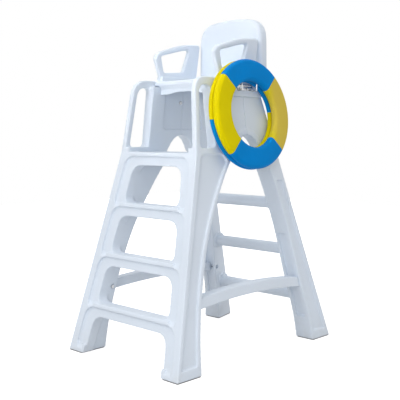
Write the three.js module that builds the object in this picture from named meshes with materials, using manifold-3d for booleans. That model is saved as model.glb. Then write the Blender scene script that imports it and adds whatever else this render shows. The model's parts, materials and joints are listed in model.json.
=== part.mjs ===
// A lifeguard chair of moulded white plastic with a foam lifebuoy on its side.
// Millimetres, +Z up. The origin is on the ground, midway between the feet; the ladder faces -Y.
import * as THREE from "three";
import { mergeVertices } from "three/addons/utils/BufferGeometryUtils.js";
import Module from "manifold-3d";

const wasm = await Module();
wasm.setup();

// Ladder and overall form
const LEVEL_RISE = 265; // from one tread to the next
const LEVELS = 4; // the highest tread carries on into the platform
const FOOT_HALF_WIDTH = 420;
const PLATFORM_HALF_WIDTH = 284;
const FOOT_REACH = 611; // from the middle to the front and rear edges of the feet
const PLATFORM_FRONT = 347; // the same to the front edge of the platform
const FACE_DEPTH = 75; // the ladder's face, and so each tread, from front to rear
const LEG_WIDTH = 110;
const FOOT_WIDTH = 118; // of each leg beside the arch under the lowest tread
const TREAD_HEIGHT = 69; // from a tread's top to the opening below it
const NOSING_HEIGHT = 21;
const FIELD_RIM = 48; // flat rim left beside each sunken field of the face
const FIELD_SINK = 15;
const FOOT_BLOCK_HEIGHT = 47;
const OPENING_TOP_ROUND = 62;
const OPENING_BOTTOM_ROUND = 50;
const FIELD_ROUND = 64;
const FIELD_FOOT_ROUND = 14;

// Side walls under the seat, and the handrails in front of them
const SEAM_Y = 40; // where the front and rear mouldings meet
const WALL_THICKNESS = 60;
const WALL_SINK = 10; // the sunken inner field of each wall
const WALL_FIELD_FOOT = 1180;
const WALL_FIELD_MARGIN = 36;
const WALL_FIELD_FRONT = 108;
const ARCH_TOP = 1150;
const ARCH_HALF_WIDTH = 104; // at the platform's height
const ARCH_RIM = 34;
const ARCH_RIM_RAISE = 5;
const RAIL_SIZE = 30;
const RAIL_TOP = 1442;
const RAIL_HEAD = 40; // height of the bar along its top
const RAIL_TOP_FRONT = 309;
const RAIL_BEND = 78;
const COLUMN_FRONT = 205;
const COLUMN_REAR = 126;
const SLOT_FOOT = 1085;
const SLOT_ROUND = 28;
const SLOT_BEND = 46;
const FRONT_FOOT_DEPTH = 163;
const LEDGE_SINK = 30; // the ledges that carry the platform lie this far below its top
const PLATFORM_REAR = 96;

// Sunken panels on the outer faces of the legs
const PANEL_SINK = 12;
const PANEL_FRONT_MARGIN = 38; // at its head
const PANEL_FOOT_MARGIN = 22; // the same at its foot
const PANEL_REAR_MARGIN = 24;
const PANEL_FOOT = 50;
const PANEL_TOP = 1056;
const PANEL_ROUND = 30;

// Rear legs
const REAR_FOOT_DEPTH = 160;
const REAR_LEG_WIDTH = 118; // across the front face
const REAR_LEG_REAR_WIDTH = 76; // across the rear face
const REAR_WALL_REAR = 190; // rear edge of the wall where it meets the seat's skirt
const REAR_PANEL_MARGIN = 22;
const REAR_PANEL_TOP = 905;
const REAR_GROOVE_WIDTH = 58;
const REAR_GROOVE_SINK = 16;
const REAR_GROOVE_FOOT = 130;
const REAR_GROOVE_TOP = 606;

// Rungs between the rear legs
const RUNGS = 3;
const RUNG_DIAMETER = 64;
const RUNG_DROP = 20; // each rung's middle lies this far below a level
const RUNG_SOCKET_DEPTH = 34;
const RUNG_BOSS_DIAMETER = 92;
const RUNG_BOSS_HEIGHT = 12;

// Beams between the front and rear legs
const BEAM_FOOT = 311; // height of the underside at its ends
const BEAM_HEIGHT = 54;
const BEAM_RISE = 22; // how far it arches up in the middle
const BEAM_THICKNESS = 58;
const BEAM_INSET = 9;
const BEAM_SPIGOT_LENGTH = 36;
const BEAM_SPIGOT_MARGIN = 11;

// Lap joint and bolts at the seam
const TONGUE_LENGTH = 50;
const TONGUE_THICKNESS = 24;
const TONGUE_FOOT = 1195;
const TONGUE_HEAD_MARGIN = 18;
const SEAM_BOLT_HEIGHT = 1330;

// Seat
const SEAT_TOP = 1440;
const SKIRT_FOOT = 1350;
const SKIRT_PROUD = 12;
const DECK_THICKNESS = 30;
const SEAT_FRONT = 165;
const LIP_HEIGHT = 22;
const APRON_SETBACK = 15;
const APRON_BEVEL = 24;
const APRON_FOOT = 1368;
const APRON_THICKNESS = 12;
const APRON_RISE = 12; // how much higher its foot is in the middle
const APRON_RISE_HALF_WIDTH = 120;
const APRON_RISE_SLANT = 65; // how far in the raised part has its full height
const SEAT_REAR = 272;
const SEAT_ROUND = 10;
const SEAT_REAR_CHAMFER = 74;
const CHAMFER_FOOT_ROUND = 37;
const CHAMFER_HEAD_ROUND = 4.6;
const SEAT_SCREW_FRONT = 100; // the front screws' distance forward of the middle
const SEAT_SCREW_REAR = 164;
const DISH_HALF_WIDTH = 172;
const DISH_FRONT = 138;
const DISH_REAR = 186;
const DISH_DEPTH = 17;

// Backrest
const BACK_FRONT = 200;
const BACK_THICKNESS = 66;
const BACK_TOP = 1786;
const BACK_INSET = 16.2; // from the seat's side edge to the side of the backrest's foot
const BACK_TAPER = 6; // how much further in its shoulders are
const BACK_CORNER = 105;
const BACK_CROWN = 12;
const BACK_EDGE = 18;
const BACK_FOOT_ROUND = 44;
const TENON_WIDTH = 96;
const TENON_THICKNESS = 30;
const TENON_DEPTH = 46;
const TENON_SPACING = 250;

// Armrests
const ARM_INSET = 30.2; // from the seat's side edge to the middle of each armrest
const ARM_THICKNESS = 28;
const ARM_EDGE = 10;
const ARM_FRONT = 190;
const ARM_REAR = 186;
const ARM_HEIGHT = 228;
const ARM_FOOT_HEIGHT = 28;
const ARM_FOOT_THICKNESS = 46;
const ARM_FOOT_FRONT = 124;
const ARM_FOOT_REAR = 158;
const ARM_PEG_DIAMETER = 26;
const ARM_PEG_DEPTH = 52;
const ARM_PEG_SPACING = 190;

// Lifebuoy: two glued layers of foam, four arcs each
const BUOY_RADIUS = 285;
const BUOY_HOLE_RADIUS = 172;
const BUOY_FRONT_THICKNESS = 43;
const BUOY_BACK_THICKNESS = 25;
const BUOY_FRONT_EDGE = 19; // rounding of the front layer's free edges
const BUOY_BACK_EDGE = 13;
const BUOY_HEIGHT = 1256; // of its middle
const BUOY_Y = 31;
const ARCS_PER_LAYER = 4;
const FRONT_TURN_SHARE = 0.128; // turn of the first front seam, as a share of a full turn
const BACK_TURN_SHARE = 0.016;

// Wire hooks under the lifebuoy
const WIRE_DIAMETER = 8;
const HOOK_SPACING = 116;
const HOOK_REACH = 46;
const HOOK_DROP = 34;
const HOOK_BEND = 14;
const BRACKET_HEIGHT = 30;
const BRACKET_MARGIN = 16;
const BRACKET_THICKNESS = 3;
const BRACKET_SCREW_SPACING = 60;
const WIRE_TENSION_SHARE = 0.3; // how tightly the wire follows its corners

// Rubber foot pads
const PAD_THICKNESS = 4;
const PAD_MARGIN = 3;

// Fasteners
const BOLT_DIAMETER = 10;
const BOLT_HEAD_SIZE = 19;
const BOLT_HEAD_HEIGHT = 6;
const SCREW_DIAMETER = 6;
const SCREW_HEAD_SIZE = 12;
const SCREW_HEAD_HEIGHT = 4;
const SEAT_SCREW_LENGTH = 38;
const BRACKET_SCREW_LENGTH = 26;
const BEAM_BOLT_LENGTH = 62;
const BACK_BOLT_LENGTH = 52;
const SEAM_BOLT_LENGTH = 40;

// Clearances
const GAP = 0.3; // between pieces that touch
const FIT = 0.6; // round a spigot, tongue or peg in its socket
const HOLE_FIT = 0.4; // round a bolt or screw
const OVERRUN = 30; // how far a cut runs past the face that it leaves
const MERGE_REACH = 0.0003; // corners closer than this are one

const CORNER_STEPS = 5;
const ROUND_STEPS = 20;
const BUOY_STEPS = 56;
const WIRE_SIDES = 10;
const WIRE_STEPS = 16;
const SCREW_STEPS = 12;
const DISH_STEPS = 24;
const EDGE_STEPS = 30; // along the inner edge of each leg
const BEVEL_STEPS = 3;
const FOAM_STEPS = 4; // round each free edge of the lifebuoy

// Worked out from the above
const PLATFORM_HEIGHT = LEVELS * LEVEL_RISE;
const SIDE_SLOPE = (FOOT_HALF_WIDTH - PLATFORM_HALF_WIDTH) / PLATFORM_HEIGHT;
const FRONT_SLOPE = (FOOT_REACH - PLATFORM_FRONT) / PLATFORM_HEIGHT;
const REAR_SLOPE = (FOOT_REACH - REAR_WALL_REAR) / SKIRT_FOOT;
const FOOT_UNDERSIDE = PAD_THICKNESS + GAP;
const LEDGE_HEIGHT = PLATFORM_HEIGHT - LEDGE_SINK;
const BUOY_THICKNESS = BUOY_FRONT_THICKNESS + BUOY_BACK_THICKNESS;
const DECK_UNDERSIDE = SEAT_TOP - DECK_THICKNESS;
const WALL_TOP = DECK_UNDERSIDE - GAP;
const SIDES = { right: 1, left: -1 };

const halfWidthAt = (z) => FOOT_HALF_WIDTH - SIDE_SLOPE * z;
const SEAT_HALF_WIDTH = halfWidthAt(SEAT_TOP) + SKIRT_PROUD;
const BACK_FOOT_HALF_WIDTH = SEAT_HALF_WIDTH - BACK_INSET;
const BACK_HALF_WIDTH = BACK_FOOT_HALF_WIDTH - BACK_TAPER;
const ARM_PLACE = SEAT_HALF_WIDTH - ARM_INSET;
const frontAt = (z) => -FOOT_REACH + FRONT_SLOPE * z;
const rearAt = (z) => FOOT_REACH - REAR_SLOPE * z;

// Geometry helpers

// A closed outline from corners [across, up, rounding], where the rounding may be left out.
function outline(corners) {
  const shape = new THREE.Shape();
  const count = corners.length;
  corners.forEach(([u, v, round = 0], i) => {
    const corner = new THREE.Vector2(u, v);
    const towards = (other) => {
      const point = new THREE.Vector2(other[0], other[1]);
      return point.sub(corner).setLength(round).add(corner);
    };
    const before = towards(corners[(i + count - 1) % count]);
    const after = towards(corners[(i + 1) % count]);
    if (i === 0) shape.moveTo(before.x, before.y);
    else shape.lineTo(before.x, before.y);
    if (round > 0) shape.quadraticCurveTo(u, v, after.x, after.y);
  });
  shape.closePath();
  return shape;
}

function extrude(shape, depth, edge = 0) {
  return new THREE.ExtrudeGeometry(shape, {
    depth: depth - 2 * edge,
    bevelEnabled: edge > 0,
    bevelThickness: edge,
    bevelSize: edge,
    bevelOffset: -edge,
    bevelSegments: BEVEL_STEPS,
    curveSegments: CORNER_STEPS,
  }).translate(0, 0, edge);
}

const axes = (x, y, z) => new THREE.Matrix4().makeBasis(x, y, z);
const X = new THREE.Vector3(1, 0, 0);
const Y = new THREE.Vector3(0, 1, 0);
const Z = new THREE.Vector3(0, 0, 1);

// An outline in (y, z), drawn out along X between two places in either order.
function alongX(shape, from, to, edge = 0) {
  const geometry = extrude(shape, Math.abs(to - from), edge);
  return geometry.applyMatrix4(axes(Y, Z, X)).translate(Math.min(from, to), 0, 0);
}

// An outline in (x, z), drawn out along Y.
function alongY(shape, from, to, edge = 0) {
  const geometry = extrude(shape, to - from, edge);
  return geometry.applyMatrix4(axes(X, Z, Y.clone().negate())).translate(0, to, 0);
}

// An outline in (x, y), drawn out along Z.
function alongZ(shape, from, to) {
  return extrude(shape, to - from).translate(0, 0, from);
}

function box(low, high) {
  const size = high.map((v, i) => v - low[i]);
  const middle = high.map((v, i) => (v + low[i]) / 2);
  return new THREE.BoxGeometry(...size).translate(...middle);
}

// Moves every height of a form sideways and rearwards in proportion to that height.
function leaning(geometry, sideways, rearwards = 0) {
  const m = new THREE.Matrix4().set(1, 0, sideways, 0, 0, 1, rearwards, 0, 0, 0, 1, 0, 0, 0, 0, 1);
  return geometry.applyMatrix4(m);
}

// A form that follows one side wall: its places across count from the wall's foot.
const onSide = (side, shape, from, to) =>
  leaning(alongX(shape, side * from, side * to), -side * SIDE_SLOPE);

function circle(radius, u = 0, v = 0, steps = ROUND_STEPS) {
  const shape = new THREE.Shape();
  for (let i = 0; i < steps; i++) {
    const angle = (2 * Math.PI * i) / steps;
    const [x, y] = [u + radius * Math.cos(angle), v + radius * Math.sin(angle)];
    if (i === 0) shape.moveTo(x, y);
    else shape.lineTo(x, y);
  }
  shape.closePath();
  return shape;
}

function hexagon(size, u = 0, v = 0) {
  const radius = size / Math.sqrt(3);
  const corners = Array.from({ length: 6 }, (_, i) => {
    const angle = (Math.PI * i) / 3;
    return [u + radius * Math.cos(angle), v + radius * Math.sin(angle)];
  });
  return outline(corners);
}

function solid(geometry) {
  const plain = geometry.clone();
  plain.deleteAttribute("normal");
  plain.deleteAttribute("uv");
  const merged = mergeVertices(plain, MERGE_REACH);
  return new wasm.Manifold(
    new wasm.Mesh({
      numProp: 3,
      vertProperties: merged.attributes.position.array,
      triVerts: new Uint32Array(merged.index.array),
    }),
  );
}

const cut = (body, ...geometries) => geometries.reduce((left, g) => left.subtract(solid(g)), body);
const join = (body, ...geometries) => geometries.reduce((all, g) => all.add(solid(g)), body);

function toGeometry(body) {
  const { vertProperties, triVerts } = body.getMesh();
  const geometry = new THREE.BufferGeometry();
  geometry.setAttribute("position", new THREE.BufferAttribute(new Float32Array(vertProperties), 3));
  geometry.setIndex(new THREE.BufferAttribute(new Uint32Array(triVerts), 1));
  geometry.computeVertexNormals();
  return geometry;
}

// Curves of the side view

// Inner edge of the front leg: height and leg depth, as shares of the platform's height and foot.
const FRONT_LEG_SHARES = [
  [0.0, 1.0],
  [0.14, 0.85],
  [0.32, 0.755],
  [0.55, 0.79],
  [0.74, 1.03],
  [0.905, 1.4],
];
// The same for the rear leg, whose depth is counted forward from its rear edge.
const REAR_LEG_SHARES = [
  [0.0, 1.0],
  [0.15, 0.84],
  [0.33, 0.775],
  [0.62, 0.6],
  [0.91, 0.62],
];
// Crown of the arch: distance from the seam and drop from its top, as shares of the arch.
const ARCH_SHARES = [
  [1.0, 1.0],
  [0.8, 0.6],
  [0.6, 0.3],
  [0.33, 0.08],
  [0.0, 0.0],
];

const archPoints = (direction, growth = 0) =>
  ARCH_SHARES.map(([across, drop]) => {
    const y = SEAM_Y + direction * across * (ARCH_HALF_WIDTH + growth);
    return new THREE.Vector2(y, ARCH_TOP + growth - drop * (ARCH_TOP + growth - PLATFORM_HEIGHT));
  });

const frontLegEdge = new THREE.SplineCurve([
  ...FRONT_LEG_SHARES.map(([height, depth]) => {
    const z = Math.max(height * PLATFORM_HEIGHT, FOOT_UNDERSIDE);
    return new THREE.Vector2(frontAt(z) + depth * FRONT_FOOT_DEPTH, z);
  }),
  ...archPoints(-1),
]);

const rearLegEdge = new THREE.SplineCurve([
  ...REAR_LEG_SHARES.map(([height, depth]) => {
    const z = Math.max(height * PLATFORM_HEIGHT, FOOT_UNDERSIDE);
    return new THREE.Vector2(rearAt(z) - depth * REAR_FOOT_DEPTH, z);
  }),
  ...archPoints(1),
]);

const edgeCorners = (curve) => curve.getPoints(EDGE_STEPS).map((p) => [p.x, p.y]);

// The place of an edge curve at a height, between the two points next to it.
function edgeAt(curve, z) {
  const points = curve.getPoints(EDGE_STEPS);
  const i = points.findIndex((p) => p.y >= z);
  const [low, high] = [points[i - 1], points[i]];
  return low.x + ((high.x - low.x) * (z - low.y)) / (high.y - low.y);
}

const RAIL_SLOPE = (PLATFORM_FRONT - RAIL_TOP_FRONT) / (RAIL_TOP - PLATFORM_HEIGHT);
const railFrontAt = (z) => -PLATFORM_FRONT + RAIL_SLOPE * (z - PLATFORM_HEIGHT);

// The ladder's front opening and sunken field at one level, seen from the front.
function faceOutline(margin, foot, top, footRound, topRound) {
  return outline([
    [-(halfWidthAt(foot) - margin), foot, footRound],
    [halfWidthAt(foot) - margin, foot, footRound],
    [halfWidthAt(top) - margin, top, topRound],
    [-(halfWidthAt(top) - margin), top, topRound],
  ]);
}

// A space between the two side walls, leaving a wall of the given thickness on each side.
const between = (thickness, foot, top, from, to, rearwards = 0) =>
  leaning(alongY(faceOutline(thickness, foot, top, 0, 0), from, to), 0, rearwards);

// Where the tongue of each rear moulding runs inside the front one.
function tongueSpace(side, grow) {
  const middle = FOOT_HALF_WIDTH - WALL_THICKNESS / 2;
  const half = TONGUE_THICKNESS / 2 + grow;
  const front = SEAM_Y - TONGUE_LENGTH - grow;
  const shape = outline([
    [front, TONGUE_FOOT - grow],
    [SEAM_Y + TONGUE_LENGTH, TONGUE_FOOT - grow],
    [SEAM_Y + TONGUE_LENGTH, WALL_TOP - TONGUE_HEAD_MARGIN + grow],
    [front, WALL_TOP - TONGUE_HEAD_MARGIN + grow],
  ]);
  return onSide(side, shape, middle - half, middle + half);
}

// A bolt or screw across a side wall. Its head rests at the given place and its shank runs on
// from there, outwards or inwards.
function sideBolt(side, y, z, seat, length, direction, kind) {
  const headFrom = seat - direction * kind.gap;
  const section = circle(kind.diameter / 2, y, z, SCREW_STEPS);
  const shank = onSide(side, section, headFrom - (direction * kind.height) / 2, seat + direction * length);
  const head = onSide(side, hexagon(kind.head, y, z), headFrom - direction * kind.height, headFrom);
  return toGeometry(join(solid(shank), head));
}

const sideHole = (side, y, z, from, to, diameter) =>
  onSide(side, circle(diameter / 2 + HOLE_FIT, y, z, SCREW_STEPS), from, to);

const BOLT = { diameter: BOLT_DIAMETER, head: BOLT_HEAD_SIZE, height: BOLT_HEAD_HEIGHT, gap: GAP };
const SCREW = { diameter: SCREW_DIAMETER, head: SCREW_HEAD_SIZE, height: SCREW_HEAD_HEIGHT, gap: GAP };

// Beams

const beamEnds = () => {
  const top = BEAM_FOOT + BEAM_HEIGHT;
  return {
    top,
    front: { foot: edgeAt(frontLegEdge, BEAM_FOOT) + GAP, head: edgeAt(frontLegEdge, top) + GAP },
    rear: { foot: edgeAt(rearLegEdge, BEAM_FOOT) - GAP, head: edgeAt(rearLegEdge, top) - GAP },
  };
};

function beamSpigot(side, end, grow, reach) {
  const { top, front, rear } = beamEnds();
  const margin = BEAM_SPIGOT_MARGIN - grow;
  const inner = FOOT_HALF_WIDTH - BEAM_INSET - BEAM_THICKNESS + margin;
  const outer = FOOT_HALF_WIDTH - BEAM_INSET - margin;
  const shape =
    end === "front"
      ? [front.foot - BEAM_SPIGOT_LENGTH - grow, front.head + reach]
      : [rear.head - reach, rear.foot + BEAM_SPIGOT_LENGTH + grow];
  const corners = [
    [shape[0], BEAM_FOOT + margin],
    [shape[1], BEAM_FOOT + margin],
    [shape[1], top - margin],
    [shape[0], top - margin],
  ];
  return onSide(side, outline(corners), inner, outer);
}

function beam(side) {
  const { top, front, rear } = beamEnds();
  const middle = (front.foot + rear.foot) / 2;
  const arc = (from, to, z) =>
    new THREE.QuadraticBezierCurve(
      new THREE.Vector2(from, z),
      new THREE.Vector2(middle, z + 2 * BEAM_RISE),
      new THREE.Vector2(to, z),
    )
      .getPoints(ROUND_STEPS)
      .map((p) => [p.x, p.y]);
  const corners = [...arc(front.foot, rear.foot, BEAM_FOOT), ...arc(rear.head, front.head, top)];
  const outer = FOOT_HALF_WIDTH - BEAM_INSET;
  let body = solid(onSide(side, outline(corners), outer - BEAM_THICKNESS, outer));
  body = join(body, beamSpigot(side, "front", 0, OVERRUN), beamSpigot(side, "rear", 0, OVERRUN));
  return toGeometry(cut(body, ...beamBoltPlaces().map(([y, z]) => beamBoltHole(side, y, z))));
}

const beamBoltPlaces = () => {
  const { top, front, rear } = beamEnds();
  const z = (BEAM_FOOT + top) / 2;
  return [
    [front.foot - BEAM_SPIGOT_LENGTH / 2, z],
    [rear.foot + BEAM_SPIGOT_LENGTH / 2, z],
  ];
};

const beamBoltHole = (side, y, z) =>
  sideHole(
    side,
    y,
    z,
    FOOT_HALF_WIDTH - REAR_LEG_WIDTH - OVERRUN,
    beamBoltSeat(y) + BEAM_BOLT_LENGTH + HOLE_FIT,
    BOLT_DIAMETER,
  );

// The inner face of the leg at a beam's bolt, where the bolt's head is let in.
const beamBoltSeat = (y) => FOOT_HALF_WIDTH - (y < 0 ? LEG_WIDTH : REAR_LEG_REAR_WIDTH) + BOLT_HEAD_HEIGHT;

const beamBoltPocket = (side, y, z) =>
  onSide(
    side,
    circle(BOLT_HEAD_SIZE / 2 + BOLT_HEAD_HEIGHT, y, z, SCREW_STEPS),
    FOOT_HALF_WIDTH - REAR_LEG_WIDTH - OVERRUN,
    beamBoltSeat(y),
  );

// Front moulding: ladder face, front legs, handrails and the front half of the side walls

function frontSideView() {
  const seam = SEAM_Y - GAP / 2;
  const edge = edgeCorners(frontLegEdge).slice(0, -1);
  return outline([
    [frontAt(FOOT_UNDERSIDE), FOOT_UNDERSIDE],
    ...edge,
    [seam, ARCH_TOP],
    [seam, WALL_TOP],
    [-SEAT_FRONT - GAP, WALL_TOP],
    [-SEAT_FRONT - GAP, RAIL_TOP],
    [-RAIL_TOP_FRONT, RAIL_TOP, RAIL_BEND],
    [-PLATFORM_FRONT, PLATFORM_HEIGHT],
  ]);
}

function slotOutline() {
  const head = RAIL_TOP - RAIL_HEAD;
  return outline([
    [railFrontAt(SLOT_FOOT) + RAIL_SIZE, SLOT_FOOT, SLOT_ROUND],
    [-COLUMN_FRONT, SLOT_FOOT, SLOT_ROUND],
    [-COLUMN_FRONT, head, SLOT_ROUND],
    [railFrontAt(head) + RAIL_SIZE, head, SLOT_BEND],
  ]);
}

// Heights at which each panel's curved edge is drawn, as shares of the panel's top.
const FRONT_PANEL_HEIGHT_SHARES = [0.05, 0.17, 0.3, 0.43, 0.56, 0.68, 0.79, 0.88, 0.96];
const REAR_PANEL_HEIGHT_SHARES = [0.06, 0.25, 0.45, 0.65, 0.85, 0.97];
// The same for the groove of the rear leg, as shares of its length.
const GROOVE_HEIGHT_SHARES = [0, 0.25, 0.5, 0.75, 1];

// The sunken panel on the outer face of a front leg: even margins from the leg's two edges.
function frontPanelOutline() {
  const rear = FRONT_PANEL_HEIGHT_SHARES.map((share) => {
    const z = share * PANEL_TOP;
    return [edgeAt(frontLegEdge, z) - PANEL_REAR_MARGIN, Math.max(z, PANEL_FOOT)];
  });
  return outline([
    [frontAt(PANEL_FOOT) + PANEL_FOOT_MARGIN, PANEL_FOOT],
    ...rear,
    [-COLUMN_REAR - PANEL_REAR_MARGIN, PANEL_TOP, PANEL_ROUND],
    [frontAt(PANEL_TOP) + PANEL_FRONT_MARGIN, PANEL_TOP, PANEL_ROUND],
  ]);
}

// The sunken field inside each side wall, which runs across the seam.
function wallFieldOutline() {
  return outline([
    [-WALL_FIELD_FRONT, WALL_FIELD_FOOT, SLOT_ROUND],
    [rearAt(WALL_FIELD_FOOT) - WALL_FIELD_MARGIN, WALL_FIELD_FOOT, SLOT_ROUND],
    [rearAt(WALL_TOP) - WALL_FIELD_MARGIN, WALL_TOP + OVERRUN],
    [-WALL_FIELD_FRONT, WALL_TOP + OVERRUN],
  ]);
}

const wallField = (side) =>
  onSide(
    side,
    wallFieldOutline(),
    FOOT_HALF_WIDTH - WALL_THICKNESS - OVERRUN,
    FOOT_HALF_WIDTH - WALL_THICKNESS + WALL_SINK,
  );

// The raised rim round the arch, on the outer face; one half on each moulding.
function archRim(side, direction) {
  const outer = archPoints(direction, ARCH_RIM).map((p) => [p.x, p.y]);
  const inner = archPoints(direction).map((p) => [p.x, p.y]);
  const seam = SEAM_Y + (direction * GAP) / 2;
  const atSeam = ([y, z]) => [direction > 0 ? Math.max(y, seam) : Math.min(y, seam), z];
  const shape = outline([...outer.map(atSeam), ...inner.reverse().map(atSeam)]);
  return onSide(side, shape, FOOT_HALF_WIDTH - WALL_THICKNESS / 2, FOOT_HALF_WIDTH + ARCH_RIM_RAISE);
}

function ladderOpenings() {
  const cuts = [];
  for (let level = 0; level < LEVELS; level++) {
    const foot = level * LEVEL_RISE;
    const next = foot + LEVEL_RISE;
    const open = level === 0 ? -OVERRUN : foot;
    const opening = faceOutline(
      level === 0 ? FOOT_WIDTH : LEG_WIDTH,
      open,
      next - TREAD_HEIGHT,
      level === 0 ? 0 : OPENING_BOTTOM_ROUND,
      OPENING_TOP_ROUND,
    );
    const field = faceOutline(
      FIELD_RIM,
      level === 0 ? FOOT_BLOCK_HEIGHT : foot,
      next - NOSING_HEIGHT,
      FIELD_FOOT_ROUND,
      FIELD_ROUND,
    );
    const ahead = -FOOT_REACH - OVERRUN;
    const through = alongY(opening, ahead, -FOOT_REACH + FACE_DEPTH + OVERRUN);
    const sunken = alongY(field, ahead, -FOOT_REACH + FIELD_SINK);
    cuts.push(leaning(through, 0, FRONT_SLOPE), leaning(sunken, 0, FRONT_SLOPE));
  }
  return cuts;
}

function frontMoulding() {
  const across = alongX(frontSideView(), -FOOT_HALF_WIDTH - OVERRUN, FOOT_HALF_WIDTH + OVERRUN);
  const trapezoid = faceOutline(0, -OVERRUN, RAIL_TOP + OVERRUN, 0, 0);
  let body = solid(across).intersect(solid(alongY(trapezoid, -FOOT_REACH - OVERRUN, FOOT_REACH)));
  const faceRear = -FOOT_REACH + FACE_DEPTH;
  body = cut(
    body,
    between(LEG_WIDTH, -OVERRUN, LEDGE_HEIGHT, faceRear, FOOT_REACH, FRONT_SLOPE),
    between(WALL_THICKNESS, LEDGE_HEIGHT, PLATFORM_HEIGHT + OVERRUN, faceRear, FOOT_REACH, FRONT_SLOPE),
    between(WALL_THICKNESS, PLATFORM_HEIGHT, RAIL_TOP + OVERRUN, -FOOT_REACH, FOOT_REACH),
    between(RAIL_SIZE, SLOT_FOOT, RAIL_TOP + OVERRUN, -FOOT_REACH, -COLUMN_FRONT),
    between(RAIL_SIZE, WALL_TOP, RAIL_TOP + OVERRUN, -FOOT_REACH, -SEAT_FRONT),
    alongX(slotOutline(), -FOOT_HALF_WIDTH, FOOT_HALF_WIDTH),
    ...ladderOpenings(),
  );
  for (const side of Object.values(SIDES)) {
    body = join(body, archRim(side, -1));
    body = cut(
      body,
      onSide(side, frontPanelOutline(), FOOT_HALF_WIDTH - PANEL_SINK, FOOT_HALF_WIDTH + OVERRUN),
      wallField(side),
      tongueSpace(side, FIT),
      beamSpigot(side, "front", FIT, OVERRUN),
      beamBoltHole(side, ...beamBoltPlaces()[0]),
      beamBoltPocket(side, ...beamBoltPlaces()[0]),
      seamBoltHole(side),
      seatScrewHole(side, -SEAT_SCREW_FRONT),
      armPegHole(side, "front"),
    );
  }
  return toGeometry(cut(body, bracketScrewHole(bracketScrewPlaces[0])));
}

// Seam bolts

const SEAM_BOLT_Y = SEAM_Y - TONGUE_LENGTH / 2;
const SEAM_BOLT_SEAT = FOOT_HALF_WIDTH - WALL_THICKNESS + WALL_SINK;
const seamBoltHole = (side) =>
  sideHole(
    side,
    SEAM_BOLT_Y,
    SEAM_BOLT_HEIGHT,
    FOOT_HALF_WIDTH - WALL_THICKNESS - OVERRUN,
    SEAM_BOLT_SEAT + SEAM_BOLT_LENGTH + HOLE_FIT,
    BOLT_DIAMETER,
  );
const seamBolt = (side) =>
  sideBolt(side, SEAM_BOLT_Y, SEAM_BOLT_HEIGHT, SEAM_BOLT_SEAT, SEAM_BOLT_LENGTH, 1, BOLT);

// Platform

function platform() {
  const half = halfWidthAt(PLATFORM_HEIGHT) - WALL_THICKNESS - FIT;
  const front = frontAt(LEDGE_HEIGHT) + FACE_DEPTH;
  const shape = outline([
    [front + FRONT_SLOPE * LEDGE_SINK + FIT, LEDGE_HEIGHT + GAP],
    [-PLATFORM_REAR, LEDGE_HEIGHT + GAP],
    [-PLATFORM_REAR, PLATFORM_HEIGHT, FIELD_FOOT_ROUND],
    [front + FRONT_SLOPE * LEDGE_SINK + FIT, PLATFORM_HEIGHT],
  ]);
  return alongX(shape, -half, half);
}

// Rear mouldings: one rear leg with the rear half of its side wall

const rungHeights = Array.from({ length: RUNGS }, (_, i) => (i + 1) * LEVEL_RISE - RUNG_DROP);
const rungY = (z) => (edgeAt(rearLegEdge, z) + rearAt(z)) / 2;
// The slanting inner face of the rear leg at a rung's middle, before the leg leans.
const RUNG_FACE = FOOT_HALF_WIDTH - (REAR_LEG_WIDTH + REAR_LEG_REAR_WIDTH) / 2;

function rungSocket(side, z) {
  const shape = circle(RUNG_DIAMETER / 2 + FIT, rungY(z), z);
  const inner = RUNG_FACE - RUNG_BOSS_HEIGHT;
  return alongX(
    shape,
    side * (inner - SIDE_SLOPE * z - 3 * OVERRUN),
    side * (inner - SIDE_SLOPE * z + RUNG_SOCKET_DEPTH),
  );
}

function rungBoss(side, z) {
  const shape = circle(RUNG_BOSS_DIAMETER / 2, rungY(z), z);
  return onSide(side, shape, RUNG_FACE - RUNG_BOSS_HEIGHT, RUNG_FACE + RUNG_SOCKET_DEPTH);
}

// The wedge that is cut away inside each rear leg, which narrows it towards the rear.
function rearLegWedge(side) {
  const narrow = REAR_LEG_WIDTH - REAR_LEG_REAR_WIDTH;
  const inner = FOOT_HALF_WIDTH - REAR_LEG_WIDTH;
  const depth = REAR_FOOT_DEPTH;
  const slope = narrow / depth;
  const shape = outline([
    [side * (inner - OVERRUN), FOOT_REACH - depth - OVERRUN / slope],
    [side * (inner + narrow + slope * OVERRUN), FOOT_REACH + OVERRUN],
    [side * (inner - OVERRUN), FOOT_REACH + OVERRUN],
  ]);
  const wedge = alongZ(shape, -OVERRUN, PLATFORM_HEIGHT + ARCH_RIM);
  return leaning(wedge, -side * SIDE_SLOPE, -REAR_SLOPE);
}

function rearSideView() {
  const seam = SEAM_Y + GAP / 2;
  const edge = edgeCorners(rearLegEdge).slice(0, -1);
  return outline([
    [rearAt(FOOT_UNDERSIDE), FOOT_UNDERSIDE],
    [rearAt(WALL_TOP), WALL_TOP],
    [seam, WALL_TOP],
    [seam, ARCH_TOP],
    ...edge.reverse(),
  ]);
}

function rearPanelOutline() {
  const front = REAR_PANEL_HEIGHT_SHARES.map((share) => {
    const z = Math.max(share * REAR_PANEL_TOP, PANEL_FOOT);
    return [edgeAt(rearLegEdge, z) + REAR_PANEL_MARGIN, z];
  });
  return outline([
    [rearAt(PANEL_FOOT) - REAR_PANEL_MARGIN, PANEL_FOOT],
    [rearAt(REAR_PANEL_TOP) - REAR_PANEL_MARGIN, REAR_PANEL_TOP, PANEL_ROUND / 2],
    [edgeAt(rearLegEdge, REAR_PANEL_TOP) + REAR_PANEL_MARGIN, REAR_PANEL_TOP, PANEL_ROUND / 2],
    ...front.reverse(),
  ]);
}

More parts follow.
